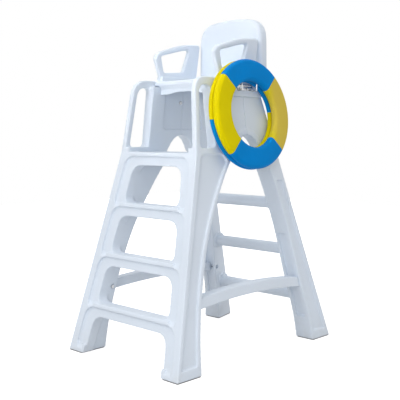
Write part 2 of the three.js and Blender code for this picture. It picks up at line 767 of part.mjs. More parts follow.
// The long upright groove in the front face of a rear leg.
function rearGroove(side) {
  const middle = FOOT_HALF_WIDTH - REAR_LEG_WIDTH / 2;
  const length = REAR_GROOVE_TOP - REAR_GROOVE_FOOT;
  const heights = GROOVE_HEIGHT_SHARES.map((share) => REAR_GROOVE_FOOT + share * length);
  const inside = heights.map((z) => [edgeAt(rearLegEdge, z) + REAR_GROOVE_SINK, z]);
  const shape = outline([
    [inside[0][0] - 2 * OVERRUN, REAR_GROOVE_FOOT],
    ...inside,
    [inside[inside.length - 1][0] - 2 * OVERRUN, REAR_GROOVE_TOP],
  ]);
  return onSide(side, shape, middle - REAR_GROOVE_WIDTH / 2, middle + REAR_GROOVE_WIDTH / 2);
}

function rearMoulding(side) {
  let body = solid(onSide(side, rearSideView(), FOOT_HALF_WIDTH - REAR_LEG_WIDTH, FOOT_HALF_WIDTH));
  const thinWall = outline([
    [SEAM_Y - OVERRUN, PLATFORM_HEIGHT],
    [FOOT_REACH, PLATFORM_HEIGHT],
    [FOOT_REACH, WALL_TOP + OVERRUN],
    [SEAM_Y - OVERRUN, WALL_TOP + OVERRUN],
  ]);
  body = cut(
    body,
    onSide(side, thinWall, FOOT_HALF_WIDTH - REAR_LEG_WIDTH - OVERRUN, FOOT_HALF_WIDTH - WALL_THICKNESS),
    rearLegWedge(side),
  );
  body = join(body, archRim(side, 1), ...rungHeights.map((z) => rungBoss(side, z)));
  body = cut(
    body,
    wallField(side),
    rearGroove(side),
    onSide(side, rearPanelOutline(), FOOT_HALF_WIDTH - PANEL_SINK, FOOT_HALF_WIDTH + OVERRUN),
    beamSpigot(side, "rear", FIT, OVERRUN),
    beamBoltHole(side, ...beamBoltPlaces()[1]),
    beamBoltPocket(side, ...beamBoltPlaces()[1]),
    seatScrewHole(side, SEAT_SCREW_REAR),
    armPegHole(side, "rear"),
    ...rungHeights.map((z) => rungSocket(side, z)),
  );
  body = join(body, tongueSpace(side, 0));
  body = cut(body, seamBoltHole(side));
  if (side === SIDES.right) body = cut(body, bracketScrewHole(bracketScrewPlaces[1]));
  return toGeometry(body);
}

function rung(z) {
  const half = RUNG_FACE - RUNG_BOSS_HEIGHT - SIDE_SLOPE * z + RUNG_SOCKET_DEPTH - GAP;
  return alongX(circle(RUNG_DIAMETER / 2, rungY(z), z), -half, half);
}

// Seat

const SEAT_SCREW_HEIGHT = (SKIRT_FOOT + DECK_UNDERSIDE) / 2;

// The seat's screws have their heads let into the skirt.
const SEAT_SCREW_SEAT = FOOT_HALF_WIDTH + SKIRT_PROUD - SCREW_HEAD_HEIGHT - GAP;
const seatScrewHole = (side, y) => {
  const from = SEAT_SCREW_SEAT - SEAT_SCREW_LENGTH - HOLE_FIT;
  return sideHole(side, y, SEAT_SCREW_HEIGHT, from, SEAT_SCREW_SEAT + OVERRUN, SCREW_DIAMETER);
};
const seatScrewPocket = (side, y) => {
  const shape = circle(SCREW_HEAD_SIZE / Math.sqrt(3) + FIT, y, SEAT_SCREW_HEIGHT, SCREW_STEPS);
  return onSide(side, shape, SEAT_SCREW_SEAT, SEAT_SCREW_SEAT + OVERRUN);
};
const seatScrew = (side, y) =>
  sideBolt(side, y, SEAT_SCREW_HEIGHT, SEAT_SCREW_SEAT, SEAT_SCREW_LENGTH, -1, SCREW);

const ARM_PEG_PLACES = { front: -ARM_PEG_SPACING / 2, rear: ARM_PEG_SPACING / 2 + SEAM_Y / 2 };
function armPeg(side, end, grow) {
  const shape = circle(ARM_PEG_DIAMETER / 2 + grow, side * ARM_PLACE, ARM_PEG_PLACES[end]);
  return alongZ(shape, SEAT_TOP - ARM_PEG_DEPTH - grow, SEAT_TOP + ARM_FOOT_HEIGHT / 2);
}
const armPegHole = (side, end) => armPeg(side, end, FIT);

function seatShell() {
  const sideView = outline([
    [-COLUMN_REAR, SKIRT_FOOT],
    [SEAT_REAR - SEAT_REAR_CHAMFER, SKIRT_FOOT, CHAMFER_FOOT_ROUND],
    [SEAT_REAR, SKIRT_FOOT + SEAT_REAR_CHAMFER, CHAMFER_HEAD_ROUND],
    [SEAT_REAR, SEAT_TOP, SEAT_ROUND],
    [-SEAT_FRONT, SEAT_TOP, SEAT_ROUND],
    [-SEAT_FRONT, SEAT_TOP - LIP_HEIGHT],
    [-SEAT_FRONT + APRON_SETBACK, DECK_UNDERSIDE],
    [-COLUMN_REAR, DECK_UNDERSIDE],
  ]);
  const broad = faceOutline(-SKIRT_PROUD, SKIRT_FOOT - OVERRUN, SEAT_TOP, 0, SEAT_ROUND);
  const whole = solid(alongX(sideView, -FOOT_HALF_WIDTH, FOOT_HALF_WIDTH));
  const body = whole.intersect(solid(alongY(broad, -FOOT_REACH, FOOT_REACH)));
  const hollow = between(-GAP, SKIRT_FOOT - OVERRUN, DECK_UNDERSIDE, -FOOT_REACH, REAR_WALL_REAR + GAP);
  return cut(body, hollow);
}

// The seat's front: a broad lip, a slanting step under it and an apron, between the two columns.
function seatFront() {
  const profile = outline([
    [-SEAT_FRONT, SEAT_TOP, SEAT_ROUND],
    [-SEAT_FRONT, SEAT_TOP - LIP_HEIGHT, APRON_THICKNESS / 3],
    [-SEAT_FRONT + APRON_SETBACK, SEAT_TOP - LIP_HEIGHT - APRON_BEVEL],
    [-SEAT_FRONT + APRON_SETBACK, APRON_FOOT],
    [-SEAT_FRONT + APRON_SETBACK + APRON_THICKNESS, APRON_FOOT],
    [-SEAT_FRONT + APRON_SETBACK + APRON_THICKNESS, DECK_UNDERSIDE],
    [-COLUMN_REAR + APRON_THICKNESS, DECK_UNDERSIDE],
    [-COLUMN_REAR + APRON_THICKNESS, SEAT_TOP],
  ]);
  const inset = WALL_THICKNESS + FIT;
  const spread = between(inset, APRON_FOOT - OVERRUN, SEAT_TOP + OVERRUN, -FOOT_REACH, FOOT_REACH);
  const full = APRON_RISE_HALF_WIDTH - APRON_RISE_SLANT;
  const raised = outline([
    [-APRON_RISE_HALF_WIDTH, APRON_FOOT - OVERRUN],
    [APRON_RISE_HALF_WIDTH, APRON_FOOT - OVERRUN],
    [APRON_RISE_HALF_WIDTH, APRON_FOOT],
    [full, APRON_FOOT + APRON_RISE, APRON_RISE],
    [-full, APRON_FOOT + APRON_RISE, APRON_RISE],
    [-APRON_RISE_HALF_WIDTH, APRON_FOOT],
  ]);
  const front = solid(alongX(profile, -FOOT_HALF_WIDTH, FOOT_HALF_WIDTH)).intersect(solid(spread));
  return cut(front, alongY(raised, -SEAT_FRONT, -COLUMN_REAR));
}

function seatDish() {
  const middle = (DISH_REAR - DISH_FRONT) / 2;
  const bowl = new THREE.SphereGeometry(1, DISH_STEPS, DISH_STEPS / 2);
  bowl.applyMatrix4(axes(X, Z, Y.clone().negate()));
  bowl.scale(DISH_HALF_WIDTH, (DISH_REAR + DISH_FRONT) / 2, DISH_DEPTH);
  return bowl.translate(0, middle, SEAT_TOP);
}

// One of the two blocks under the backrest that fit into the rear of the seat.
function backTenon(place, grow) {
  const middle = BACK_FRONT + BACK_THICKNESS / 2;
  const half = TENON_WIDTH / 2 + grow;
  return box(
    [place - half, middle - TENON_THICKNESS / 2 - grow, SEAT_TOP - TENON_DEPTH - grow],
    [place + half, middle + TENON_THICKNESS / 2 + grow, SEAT_TOP + BACK_EDGE + grow],
  );
}

const tenonPlaces = [-TENON_SPACING / 2, TENON_SPACING / 2];
const BACK_BOLT_HEIGHT = SEAT_TOP - TENON_DEPTH / 2;

function backBoltHole(x) {
  const shape = circle(BOLT_DIAMETER / 2 + HOLE_FIT, x, BACK_BOLT_HEIGHT, SCREW_STEPS);
  return alongY(shape, SEAT_REAR - BACK_BOLT_LENGTH - HOLE_FIT, SEAT_REAR + OVERRUN);
}

function backBolt(x) {
  const headFrom = SEAT_REAR + GAP;
  const section = circle(BOLT_DIAMETER / 2, x, BACK_BOLT_HEIGHT, SCREW_STEPS);
  const shank = alongY(section, SEAT_REAR - BACK_BOLT_LENGTH, headFrom + BOLT_HEAD_HEIGHT / 2);
  const head = alongY(hexagon(BOLT_HEAD_SIZE, x, BACK_BOLT_HEIGHT), headFrom, headFrom + BOLT_HEAD_HEIGHT);
  return toGeometry(join(solid(shank), head));
}

function seat() {
  let body = seatShell().add(seatFront());
  body = cut(
    body,
    seatDish(),
    ...tenonPlaces.map((x) => backTenon(x, FIT)),
    ...tenonPlaces.map((x) => backBoltHole(x)),
  );
  for (const side of Object.values(SIDES)) {
    body = cut(
      body,
      seatScrewHole(side, -SEAT_SCREW_FRONT),
      seatScrewHole(side, SEAT_SCREW_REAR),
      seatScrewPocket(side, -SEAT_SCREW_FRONT),
      seatScrewPocket(side, SEAT_SCREW_REAR),
      armPegHole(side, "front"),
      armPegHole(side, "rear"),
    );
  }
  return toGeometry(cut(body, ...bracketScrewPlaces.map((y) => bracketScrewHole(y))));
}

// Backrest: a tall panel with large upper corners and a slightly crowned top

// The most that each rounding may take of the backrest's side, which only a very low one reaches.
const BACK_ROUND_LIMIT_SHARES = { corner: 0.5, foot: 0.25, edge: 0.1 };

function backrest() {
  const foot = SEAT_TOP + GAP;
  const shoulder = BACK_TOP - BACK_CROWN;
  const limited = (round, share) => Math.min(round, share * (shoulder - foot));
  const corner = limited(BACK_CORNER, BACK_ROUND_LIMIT_SHARES.corner);
  const footRound = limited(BACK_FOOT_ROUND, BACK_ROUND_LIMIT_SHARES.foot);
  const edge = limited(BACK_EDGE, BACK_ROUND_LIMIT_SHARES.edge);
  const shape = outline([
    [-BACK_FOOT_HALF_WIDTH, foot, footRound],
    [BACK_FOOT_HALF_WIDTH, foot, footRound],
    [BACK_HALF_WIDTH, shoulder, corner],
    [0, BACK_TOP + BACK_CROWN / 2, corner / 2],
    [-BACK_HALF_WIDTH, shoulder, corner],
  ]);
  let body = solid(alongY(shape, BACK_FRONT, BACK_FRONT + BACK_THICKNESS, edge));
  body = join(body, ...tenonPlaces.map((x) => backTenon(x, 0)));
  return toGeometry(cut(body, ...tenonPlaces.map((x) => backBoltHole(x))));
}

// Armrests: loops whose places are shares of the armrest's length and height

// Corners as [place along, height, rounding]; along from the front end, rounding of the height.
const ARM_SHARES = [
  [0.185, 0.0, 0],
  [0.9, 0.0, 0],
  [1.0, 0.99, 0.12],
  [0.61, 0.945, 0.25],
  [0.13, 0.71, 0.08],
  [0.055, 0.57, 0.08],
];
const ARM_HOLE_SHARES = [
  [0.235, 0.225, 0.07],
  [0.62, 0.27, 0.07],
  [0.755, 0.82, 0.07],
  [0.64, 0.805, 0.1],
  [0.185, 0.615, 0.06],
];

function armrest(side) {
  const corner = ([along, up, round]) => [
    -ARM_FRONT + along * (ARM_FRONT + ARM_REAR),
    SEAT_TOP + GAP + up * ARM_HEIGHT,
    round * ARM_HEIGHT,
  ];
  const shape = outline(ARM_SHARES.map(corner));
  shape.holes.push(outline(ARM_HOLE_SHARES.map(corner)));
  const inner = ARM_PLACE - ARM_THICKNESS / 2;
  let body = solid(alongX(shape, side * inner, side * (inner + ARM_THICKNESS), ARM_EDGE));
  const half = ARM_FOOT_THICKNESS / 2;
  const foot = box(
    [side * ARM_PLACE - half, -ARM_FOOT_FRONT, SEAT_TOP + GAP],
    [side * ARM_PLACE + half, ARM_FOOT_REAR, SEAT_TOP + ARM_FOOT_HEIGHT],
  );
  body = join(body, foot, armPeg(side, "front", 0), armPeg(side, "rear", 0));
  return toGeometry(body);
}

// Lifebuoy

const BUOY_TILT = Math.atan(SIDE_SLOPE);
const BUOY_NORMAL = new THREE.Vector3(Math.cos(BUOY_TILT), 0, Math.sin(BUOY_TILT));
const BUOY_UP = new THREE.Vector3(-Math.sin(BUOY_TILT), 0, Math.cos(BUOY_TILT));

// The lifebuoy hangs with its hole on the hooks' tips. From its middle, a tip lies this far up its
// face and this far out of it.
const TIP_RADIUS = BUOY_HOLE_RADIUS - GAP - WIRE_DIAMETER / 2;
const TIP_UP = Math.sqrt(TIP_RADIUS ** 2 - (HOOK_SPACING / 2) ** 2);
const BUOY_STANDOFF = (SKIRT_PROUD + GAP + BUOY_THICKNESS / 2) / Math.cos(BUOY_TILT);
const TIP_OUT = (SKIRT_PROUD + HOOK_REACH - BUOY_STANDOFF) / BUOY_NORMAL.x;
const TIP_RISE = TIP_UP * BUOY_UP.z + TIP_OUT * BUOY_NORMAL.z;
const BRACKET_MIDDLE = BUOY_HEIGHT - HOOK_DROP / 2 + TIP_RISE;
const BUOY_X = halfWidthAt(BUOY_HEIGHT) + BUOY_STANDOFF;

// Section of one layer: square where it is glued to the other layer, round at its free edges.
function layerProfile(facing) {
  const half = BUOY_THICKNESS / 2;
  const edge = facing > 0 ? BUOY_FRONT_EDGE : BUOY_BACK_EDGE;
  const glued = GAP / 2 + facing * (BUOY_BACK_THICKNESS - half);
  const profile = [];
  const point = (radius, depth) => profile.push(new THREE.Vector2(radius, facing * depth));
  point(BUOY_HOLE_RADIUS, glued);
  point(BUOY_RADIUS, glued);
  for (let i = 0; i <= FOAM_STEPS; i++) {
    const angle = (Math.PI * i) / (2 * FOAM_STEPS);
    point(BUOY_RADIUS - edge * (1 - Math.cos(angle)), half - edge * (1 - Math.sin(angle)));
  }
  for (let i = FOAM_STEPS; i >= 0; i--) {
    const angle = (Math.PI * i) / (2 * FOAM_STEPS);
    point(BUOY_HOLE_RADIUS + edge * (1 - Math.cos(angle)), half - edge * (1 - Math.sin(angle)));
  }
  point(BUOY_HOLE_RADIUS, glued);
  return facing > 0 ? profile : profile.reverse();
}

// One arc of a layer between two seams, in the lifebuoy's own frame with its axis along Z.
function buoyArc(facing, turnShare, index) {
  const ring = new THREE.LatheGeometry(layerProfile(facing), BUOY_STEPS);
  ring.applyMatrix4(axes(X, Z, Y.clone().negate()));
  const start = 2 * Math.PI * (turnShare + index / ARCS_PER_LAYER);
  const reach = 2 * BUOY_RADIUS;
  const sector = outline([
    [GAP / 2, GAP / 2],
    [reach, GAP / 2],
    [reach, reach],
    [GAP / 2, reach],
  ]);
  const wedge = alongZ(sector, -BUOY_THICKNESS, BUOY_THICKNESS).rotateZ(start);
  return toGeometry(solid(ring).intersect(solid(wedge)));
}

// Hook bracket: a plate with two wire hooks whose tips carry the inside of the lifebuoy

const bracketScrewPlaces = [BUOY_Y - BRACKET_SCREW_SPACING / 2, BUOY_Y + BRACKET_SCREW_SPACING / 2];
const hookTip = () => {
  const across = BUOY_X + TIP_UP * BUOY_UP.x + TIP_OUT * BUOY_NORMAL.x;
  return new THREE.Vector3(across, BUOY_Y, BUOY_HEIGHT + TIP_RISE);
};
const BRACKET_SCREW_HEIGHT = BRACKET_MIDDLE - BRACKET_HEIGHT / 5;
const BRACKET_BAR_HEIGHT = BRACKET_MIDDLE + BRACKET_HEIGHT / 3;

const bracketScrewHole = (y) =>
  sideHole(
    1,
    y,
    BRACKET_SCREW_HEIGHT,
    FOOT_HALF_WIDTH + SKIRT_PROUD - BRACKET_SCREW_LENGTH - HOLE_FIT,
    FOOT_HALF_WIDTH + SKIRT_PROUD + OVERRUN,
    SCREW_DIAMETER,
  );

const bracketScrew = (y) =>
  sideBolt(
    1,
    y,
    BRACKET_SCREW_HEIGHT,
    FOOT_HALF_WIDTH + SKIRT_PROUD + GAP + BRACKET_THICKNESS,
    BRACKET_SCREW_LENGTH,
    -1,
    SCREW,
  );

function wire(points) {
  const path = new THREE.CatmullRomCurve3(points, false, "catmullrom", WIRE_TENSION_SHARE);
  const section = circle(WIRE_DIAMETER / 2, 0, 0, WIRE_SIDES);
  return new THREE.ExtrudeGeometry(section, { steps: WIRE_STEPS, extrudePath: path });
}

function hookBracket() {
  const tip = hookTip();
  const middle = BRACKET_MIDDLE;
  const half = HOOK_SPACING / 2 + BRACKET_MARGIN;
  const face = FOOT_HALF_WIDTH + SKIRT_PROUD + GAP;
  const plate = outline([
    [BUOY_Y - half, middle - BRACKET_HEIGHT / 2, BRACKET_HEIGHT / 4],
    [BUOY_Y + half, middle - BRACKET_HEIGHT / 2, BRACKET_HEIGHT / 4],
    [BUOY_Y + half, middle + BRACKET_HEIGHT / 2, BRACKET_HEIGHT / 4],
    [BUOY_Y - half, middle + BRACKET_HEIGHT / 2, BRACKET_HEIGHT / 4],
  ]);
  let body = solid(onSide(1, plate, face, face + BRACKET_THICKNESS));
  const low = tip.z - HOOK_DROP;
  const plateX = halfWidthAt(low) + SKIRT_PROUD + GAP + BRACKET_THICKNESS;
  for (const place of [-HOOK_SPACING / 2, HOOK_SPACING / 2]) {
    const y = BUOY_Y + place;
    const at = (x, z) => new THREE.Vector3(x, y, z);
    const hook = wire([
      at(plateX - BRACKET_THICKNESS / 2, low),
      at(plateX + HOOK_BEND, low),
      at(tip.x - HOOK_BEND, low),
      at(tip.x - HOOK_BEND / 4, low + HOOK_BEND / 4),
      at(tip.x, low + HOOK_BEND),
      at(tip.x, tip.z),
    ]);
    const end = new THREE.SphereGeometry(WIRE_DIAMETER / 2, WIRE_SIDES, WIRE_SIDES / 2);
    body = join(body, hook, end.translate(tip.x, y, tip.z));
  }
  const barHeight = BRACKET_BAR_HEIGHT;
  const barX = halfWidthAt(barHeight) + SKIRT_PROUD + GAP + BRACKET_THICKNESS + WIRE_DIAMETER / 4;
  const barSection = circle(WIRE_DIAMETER / 2, barX, barHeight, WIRE_SIDES);
  body = join(body, alongY(barSection, BUOY_Y - HOOK_SPACING / 2, BUOY_Y + HOOK_SPACING / 2));
  return toGeometry(cut(body, ...bracketScrewPlaces.map((y) => bracketScrewHole(y))));
}

// Foot pads

function footPad(side, front) {
  const inner = FOOT_HALF_WIDTH - (front ? LEG_WIDTH : REAR_LEG_WIDTH) + PAD_MARGIN;
  const outer = FOOT_HALF_WIDTH - PAD_MARGIN;
  const far = FOOT_REACH - PAD_MARGIN;
  const near = FOOT_REACH - (front ? FRONT_FOOT_DEPTH : REAR_FOOT_DEPTH) + PAD_MARGIN;
  const rearInner = front ? inner : FOOT_HALF_WIDTH - REAR_LEG_REAR_WIDTH + PAD_MARGIN;
  const ahead = front ? -1 : 1;
  const shape = outline([
    [side * inner, ahead * near, PAD_THICKNESS],
    [side * outer, ahead * near, PAD_THICKNESS],
    [side * outer, ahead * far, PAD_THICKNESS],
    [side * rearInner, ahead * far, PAD_THICKNESS],
  ]);
  return alongZ(shape, 0, PAD_THICKNESS);
}

// Materials and assembly

const finish = (color, roughness, metalness = 0) =>
  new THREE.MeshStandardMaterial({ color, roughness, metalness });
const WHITE = finish(0xeff2f5, 0.42);
const BLUE = finish(0x0a78cf, 0.62);
const YELLOW = finish(0xf2d90c, 0.62);
const STEEL = finish(0xb9bdc2, 0.28, 1);
const RUBBER = finish(0x2a2a2c, 0.85);

const chair = new THREE.Group();
const add = (name, geometry, material, parent = chair) => {
  const mesh = new THREE.Mesh(geometry, material);
  mesh.name = name;
  parent.add(mesh);
};

add("ladder_moulding", frontMoulding(), WHITE);
add("platform_panel", platform(), WHITE);
add("seat", seat(), WHITE);
add("backrest", backrest(), WHITE);
rungHeights.forEach((z, i) => add(`rear_rung_${i + 1}`, rung(z), WHITE));
for (const [name, side] of Object.entries(SIDES)) {
  add(`rear_leg_${name}`, rearMoulding(side), WHITE);
  add(`side_beam_${name}`, beam(side), WHITE);
  add(`armrest_${name}`, armrest(side), WHITE);
  add(`foot_pad_front_${name}`, footPad(side, true), RUBBER);
  add(`foot_pad_rear_${name}`, footPad(side, false), RUBBER);
  add(`seam_bolt_${name}`, seamBolt(side), STEEL);
  add(`seat_screw_front_${name}`, seatScrew(side, -SEAT_SCREW_FRONT), STEEL);
  add(`seat_screw_rear_${name}`, seatScrew(side, SEAT_SCREW_REAR), STEEL);
  beamBoltPlaces().forEach(([y, z], i) => {
    const bolt = sideBolt(side, y, z, beamBoltSeat(y), BEAM_BOLT_LENGTH, 1, BOLT);
    add(`beam_bolt_${i === 0 ? "front" : "rear"}_${name}`, bolt, STEEL);
  });
}
tenonPlaces.forEach((x) => add(`backrest_bolt_${x > 0 ? "right" : "left"}`, backBolt(x), STEEL));
add("hook_bracket", hookBracket(), STEEL);
bracketScrewPlaces.forEach((y, i) => add(`bracket_screw_${i + 1}`, bracketScrew(y), STEEL));

const lifebuoy = new THREE.Group();
lifebuoy.applyMatrix4(axes(Y, BUOY_UP, BUOY_NORMAL).setPosition(BUOY_X, BUOY_Y, BUOY_HEIGHT));
const ARC_NAMES = ["top", "left", "bottom", "right"];
ARC_NAMES.forEach((place, i) => {
  const front = buoyArc(1, FRONT_TURN_SHARE, i);
  const back = buoyArc(-1, BACK_TURN_SHARE, i + 1);
  add(`buoy_front_${place}`, front, i % 2 === 0 ? BLUE : YELLOW, lifebuoy);
  add(`buoy_back_${place}`, back, i % 2 === 0 ? YELLOW : BLUE, lifebuoy);
});
chair.add(lifebuoy);

export default chair;
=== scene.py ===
"""Looks of a lifeguard chair of moulded white plastic with a foam lifebuoy on its side hooks."""

import json
import math

import bpy
from bpy.props import FloatProperty, FloatVectorProperty, IntProperty, PointerProperty
from mathutils import Matrix, Vector


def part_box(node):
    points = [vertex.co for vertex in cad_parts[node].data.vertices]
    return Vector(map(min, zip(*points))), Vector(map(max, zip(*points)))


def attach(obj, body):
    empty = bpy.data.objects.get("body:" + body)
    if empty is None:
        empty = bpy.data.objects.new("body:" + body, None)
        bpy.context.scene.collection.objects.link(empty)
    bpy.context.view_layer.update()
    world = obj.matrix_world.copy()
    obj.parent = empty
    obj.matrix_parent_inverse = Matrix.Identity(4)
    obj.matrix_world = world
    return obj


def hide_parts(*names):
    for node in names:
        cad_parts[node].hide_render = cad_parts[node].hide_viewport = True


bl_info = {
    "name": "Lifeguard Chair",
    "version": (1, 0, 0),
    "blender": (4, 5, 0),
    "location": "View3D > Sidebar > Chair",
    "description": "Builds the finished pieces of a moulded lifeguard chair around its fixed frame",
    "category": "Object",
}

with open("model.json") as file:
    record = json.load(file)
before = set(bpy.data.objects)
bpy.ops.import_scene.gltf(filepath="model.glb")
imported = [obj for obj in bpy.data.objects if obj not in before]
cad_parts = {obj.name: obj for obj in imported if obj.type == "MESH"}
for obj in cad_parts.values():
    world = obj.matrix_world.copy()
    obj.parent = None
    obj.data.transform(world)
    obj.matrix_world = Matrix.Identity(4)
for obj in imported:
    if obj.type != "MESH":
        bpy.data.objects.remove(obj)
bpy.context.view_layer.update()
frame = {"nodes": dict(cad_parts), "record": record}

# Places shared by several pieces, in metres. The side walls lean in from the feet to the platform.
FOOT_HALF_WIDTH = 0.420
PLATFORM_HALF_WIDTH = 0.284
PLATFORM_HEIGHT = 1.060
SIDE_SLOPE = (FOOT_HALF_WIDTH - PLATFORM_HALF_WIDTH) / PLATFORM_HEIGHT
WALL_LEAN = math.atan(SIDE_SLOPE)
SEAM_Y = 0.040
GAP = 0.0003  # between the meshes of pieces that touch
MERGE = 0.00002  # vertices nearer than this are one

# The ladder's face: its outer lower corner, its slope, and the heights and depth of its sunken fields
FACE_FOOT = Vector((FOOT_HALF_WIDTH, -0.610, 0.0))
FACE_SLOPE = 0.2506
FIELD_FEET = (0.045, 0.265, 0.530, 0.795)
FIELD_SINK = 0.015
RUN_OUT_REACH = 1.4 * FIELD_SINK  # half the side of the block that slopes a field's foot

# Round and hexagonal fittings
ROUND_SIDES = 64
FLARE_SHARE = 0.9  # of a collar's reach that is rounded
SHARP_EDGE = math.radians(50)
SCREW_HEAD = 0.004
BOLT_HEAD = 0.006
WASHER_SHARE = 0.24  # of a head's width that its washer face takes on each side of the shank
CHAMFER_FALL = 0.8  # how far a head's chamfer falls at the corners, as a share of its width
LEVEL = 0.9  # a face whose normal points up or down by more than this counts as level

# Each lamp's place, the point that it is aimed at and the diameter of its disc
LAMPS = {
    "key": ((0.6, -4.1, 4.0), (0.0, 0.0, 0.9), 2.0),
    "front": ((2.2, -4.0, 1.8), (0.0, 0.0, 1.3), 1.6),
    "beam": ((0.3, -4.2, 1.95), (0.1, 0.2, 1.65), 1.0),
    "fill": ((4.4, 1.2, 2.4), (0.0, 0.0, 0.9), 3.0),
}
FLOOR_SIDE = 16.0
FLOOR_GREY = (0.62, 0.62, 0.62, 1.0)
SHADOW_REACH = 1.0  # from the middle, where the floor begins to go over to plain white
WHITE_REACH = 2.6

# The lifebuoy's arcs, as quarter turns, and the foam of each. The faded foam is yellow foam too, with a
# painted sheen that turns it a hazy mustard towards +Y.
ARC_TURNS = {"top": 0, "left": 1, "bottom": 2, "right": 3}
FRONT_FOAMS = dict(top="blue_foam", left="yellow_foam", bottom="blue_foam", right="faded_foam")
BACK_FOAMS = dict(top="yellow_foam", left="blue_foam", bottom="yellow_foam", right="blue_foam")

# Noise scales that draw fine lines along the hooks' uprights and along the bolts
WIRE_LINES = (900.0, 900.0, 30.0)
BOLT_LINES = (200.0, 1400.0, 1400.0)
FOAM_DUST = (0.6, 0.6, 0.58, 1.0)
RUBBER_DUST = (0.3, 0.29, 0.27, 1.0)


class MouldingSizes(bpy.types.PropertyGroup):
    """How the white mouldings' edges are rounded."""

    fineness: FloatProperty(
        name="Fineness",
        description="Size of the even mesh from which the large mouldings are smoothed",
        default=0.0034,
        unit="LENGTH",
    )
    small_fineness: FloatProperty(
        name="Small fineness",
        description="The same for the seat, backrest, platform and beams",
        default=0.003,
        unit="LENGTH",
    )
    arm_fineness: FloatProperty(
        name="Armrest fineness",
        description="The same for the armrests",
        default=0.0024,
        unit="LENGTH",
    )
    rounds: IntProperty(
        name="Rounds",
        description="How many times the large mouldings are smoothed, for the roundness of their edges",
        default=7,
    )
    rear_rounds: IntProperty(
        name="Rear rounds", description="How many times the rear legs are smoothed", default=4
    )
    small_rounds: IntProperty(
        name="Small rounds",
        description="How many times the smaller mouldings are smoothed",
        default=7,
    )
    run_out_place: FloatProperty(
        name="Run-out place",
        description="Middle of the sloped foot of each sunken field, from the ladder's outer edge",
        default=0.075,
        unit="LENGTH",
    )
    run_out_width: FloatProperty(
        name="Run-out width", description="Width of that slope", default=0.042, unit="LENGTH"
    )
    seam_reach: FloatProperty(
        name="Seam reach",
        description="Distance from the seam, a rung or a bolt within which edges stay crisp",
        default=0.010,
        unit="LENGTH",
    )
    thinning: FloatProperty(
        name="Thinning",
        description="Share of the even mesh's faces that is kept, fewest on the flat faces",
        default=0.34,
        subtype="FACTOR",
    )


class LifebuoySizes(bpy.types.PropertyGroup):
    """Sizes of the foam lifebuoy."""

    radius: FloatProperty(name="Radius", description="Outer radius", default=0.285, unit="LENGTH")
    hole: FloatProperty(name="Hole", description="Radius of the hole", default=0.172, unit="LENGTH")
    front_thickness: FloatProperty(
        name="Front thickness", description="Thickness of the front layer", default=0.043, unit="LENGTH"
    )
    back_thickness: FloatProperty(
        name="Back thickness", description="Thickness of the back layer", default=0.025, unit="LENGTH"
    )
    front_edge: FloatProperty(
        name="Front edge",
        description="Rounding of the front layer's free edges",
        default=0.019,
        unit="LENGTH",
    )
    back_edge: FloatProperty(
        name="Back edge",
        description="Rounding of the back layer's free edges",
        default=0.013,
        unit="LENGTH",
    )
    seam: FloatProperty(
        name="Seam", description="Small rounding at the glued seams", default=0.0016, unit="LENGTH"
    )
    front_turn: FloatProperty(
        name="Front turn",
        description="Angle of the front layer's first seam",
        default=math.radians(46.08),
        subtype="ANGLE",
    )
    back_turn: FloatProperty(
        name="Back turn",
        description="Angle of the back layer's first seam",
        default=math.radians(5.76),
        subtype="ANGLE",
    )


class FittingSizes(bpy.types.PropertyGroup):
    """Sizes of the hooks, bolts, screws, rungs and foot pads."""

    wire: FloatProperty(
        name="Wire", description="Diameter of the hooks' wire", default=0.008, unit="LENGTH"
    )
    hook_spacing: FloatProperty(
        name="Hook spacing", description="Between the two hooks", default=0.116, unit="LENGTH"
    )
    hook_drop: FloatProperty(
        name="Hook drop", description="From a hook's tip to its lowest run", default=0.034, unit="LENGTH"
    )
    hook_bend: FloatProperty(
        name="Hook bend", description="Radius of a hook's bend", default=0.014, unit="LENGTH"
    )
    plate: FloatProperty(
        name="Plate", description="Thickness of the bracket's plate", default=0.003, unit="LENGTH"
    )
    plate_height: FloatProperty(
        name="Plate height", description="Height of the bracket's plate", default=0.030, unit="LENGTH"
    )
    chamfer: FloatProperty(
        name="Chamfer", description="Chamfer of bolt heads and rung ends", default=0.0012, unit="LENGTH"
    )
    collar: FloatProperty(
        name="Collar",
        description="How far a rung's flare at each leg stands out",
        default=0.004,
        unit="LENGTH",
    )
    pad_edge: FloatProperty(
        name="Pad edge", description="Rounding of the foot pads' edges", default=0.0012, unit="LENGTH"
    )


class Colours(bpy.types.PropertyGroup):
    """Colours of the finished pieces."""

    white: FloatVectorProperty(
        name="White", description="Moulded plastic", default=(0.718, 0.788, 0.88), subtype="COLOR"
    )
    dust: FloatVectorProperty(
        name="Dust", description="Pale dust on the plastic", default=(0.62, 0.60, 0.56), subtype="COLOR"
    )
    blue: FloatVectorProperty(
        name="Blue", description="Blue foam", default=(0.0, 0.232, 0.64), subtype="COLOR"
    )
    yellow: FloatVectorProperty(
        name="Yellow", description="Yellow foam", default=(0.73, 0.61, 0.0), subtype="COLOR"
    )
    # Painted sheen: the hazy mustard that the right front arc goes over to
    faded: FloatVectorProperty(
        name="Faded", description="Yellow foam under a painted sheen", default=(0.66, 0.51, 0.075), subtype="COLOR"
    )
    steel: FloatVectorProperty(
        name="Steel", description="Hooks, bolts and screws", default=(0.62, 0.63, 0.65), subtype="COLOR"
    )
    rubber: FloatVectorProperty(
        name="Rubber", description="Foot pads", default=(0.27, 0.27, 0.28), subtype="COLOR"
    )


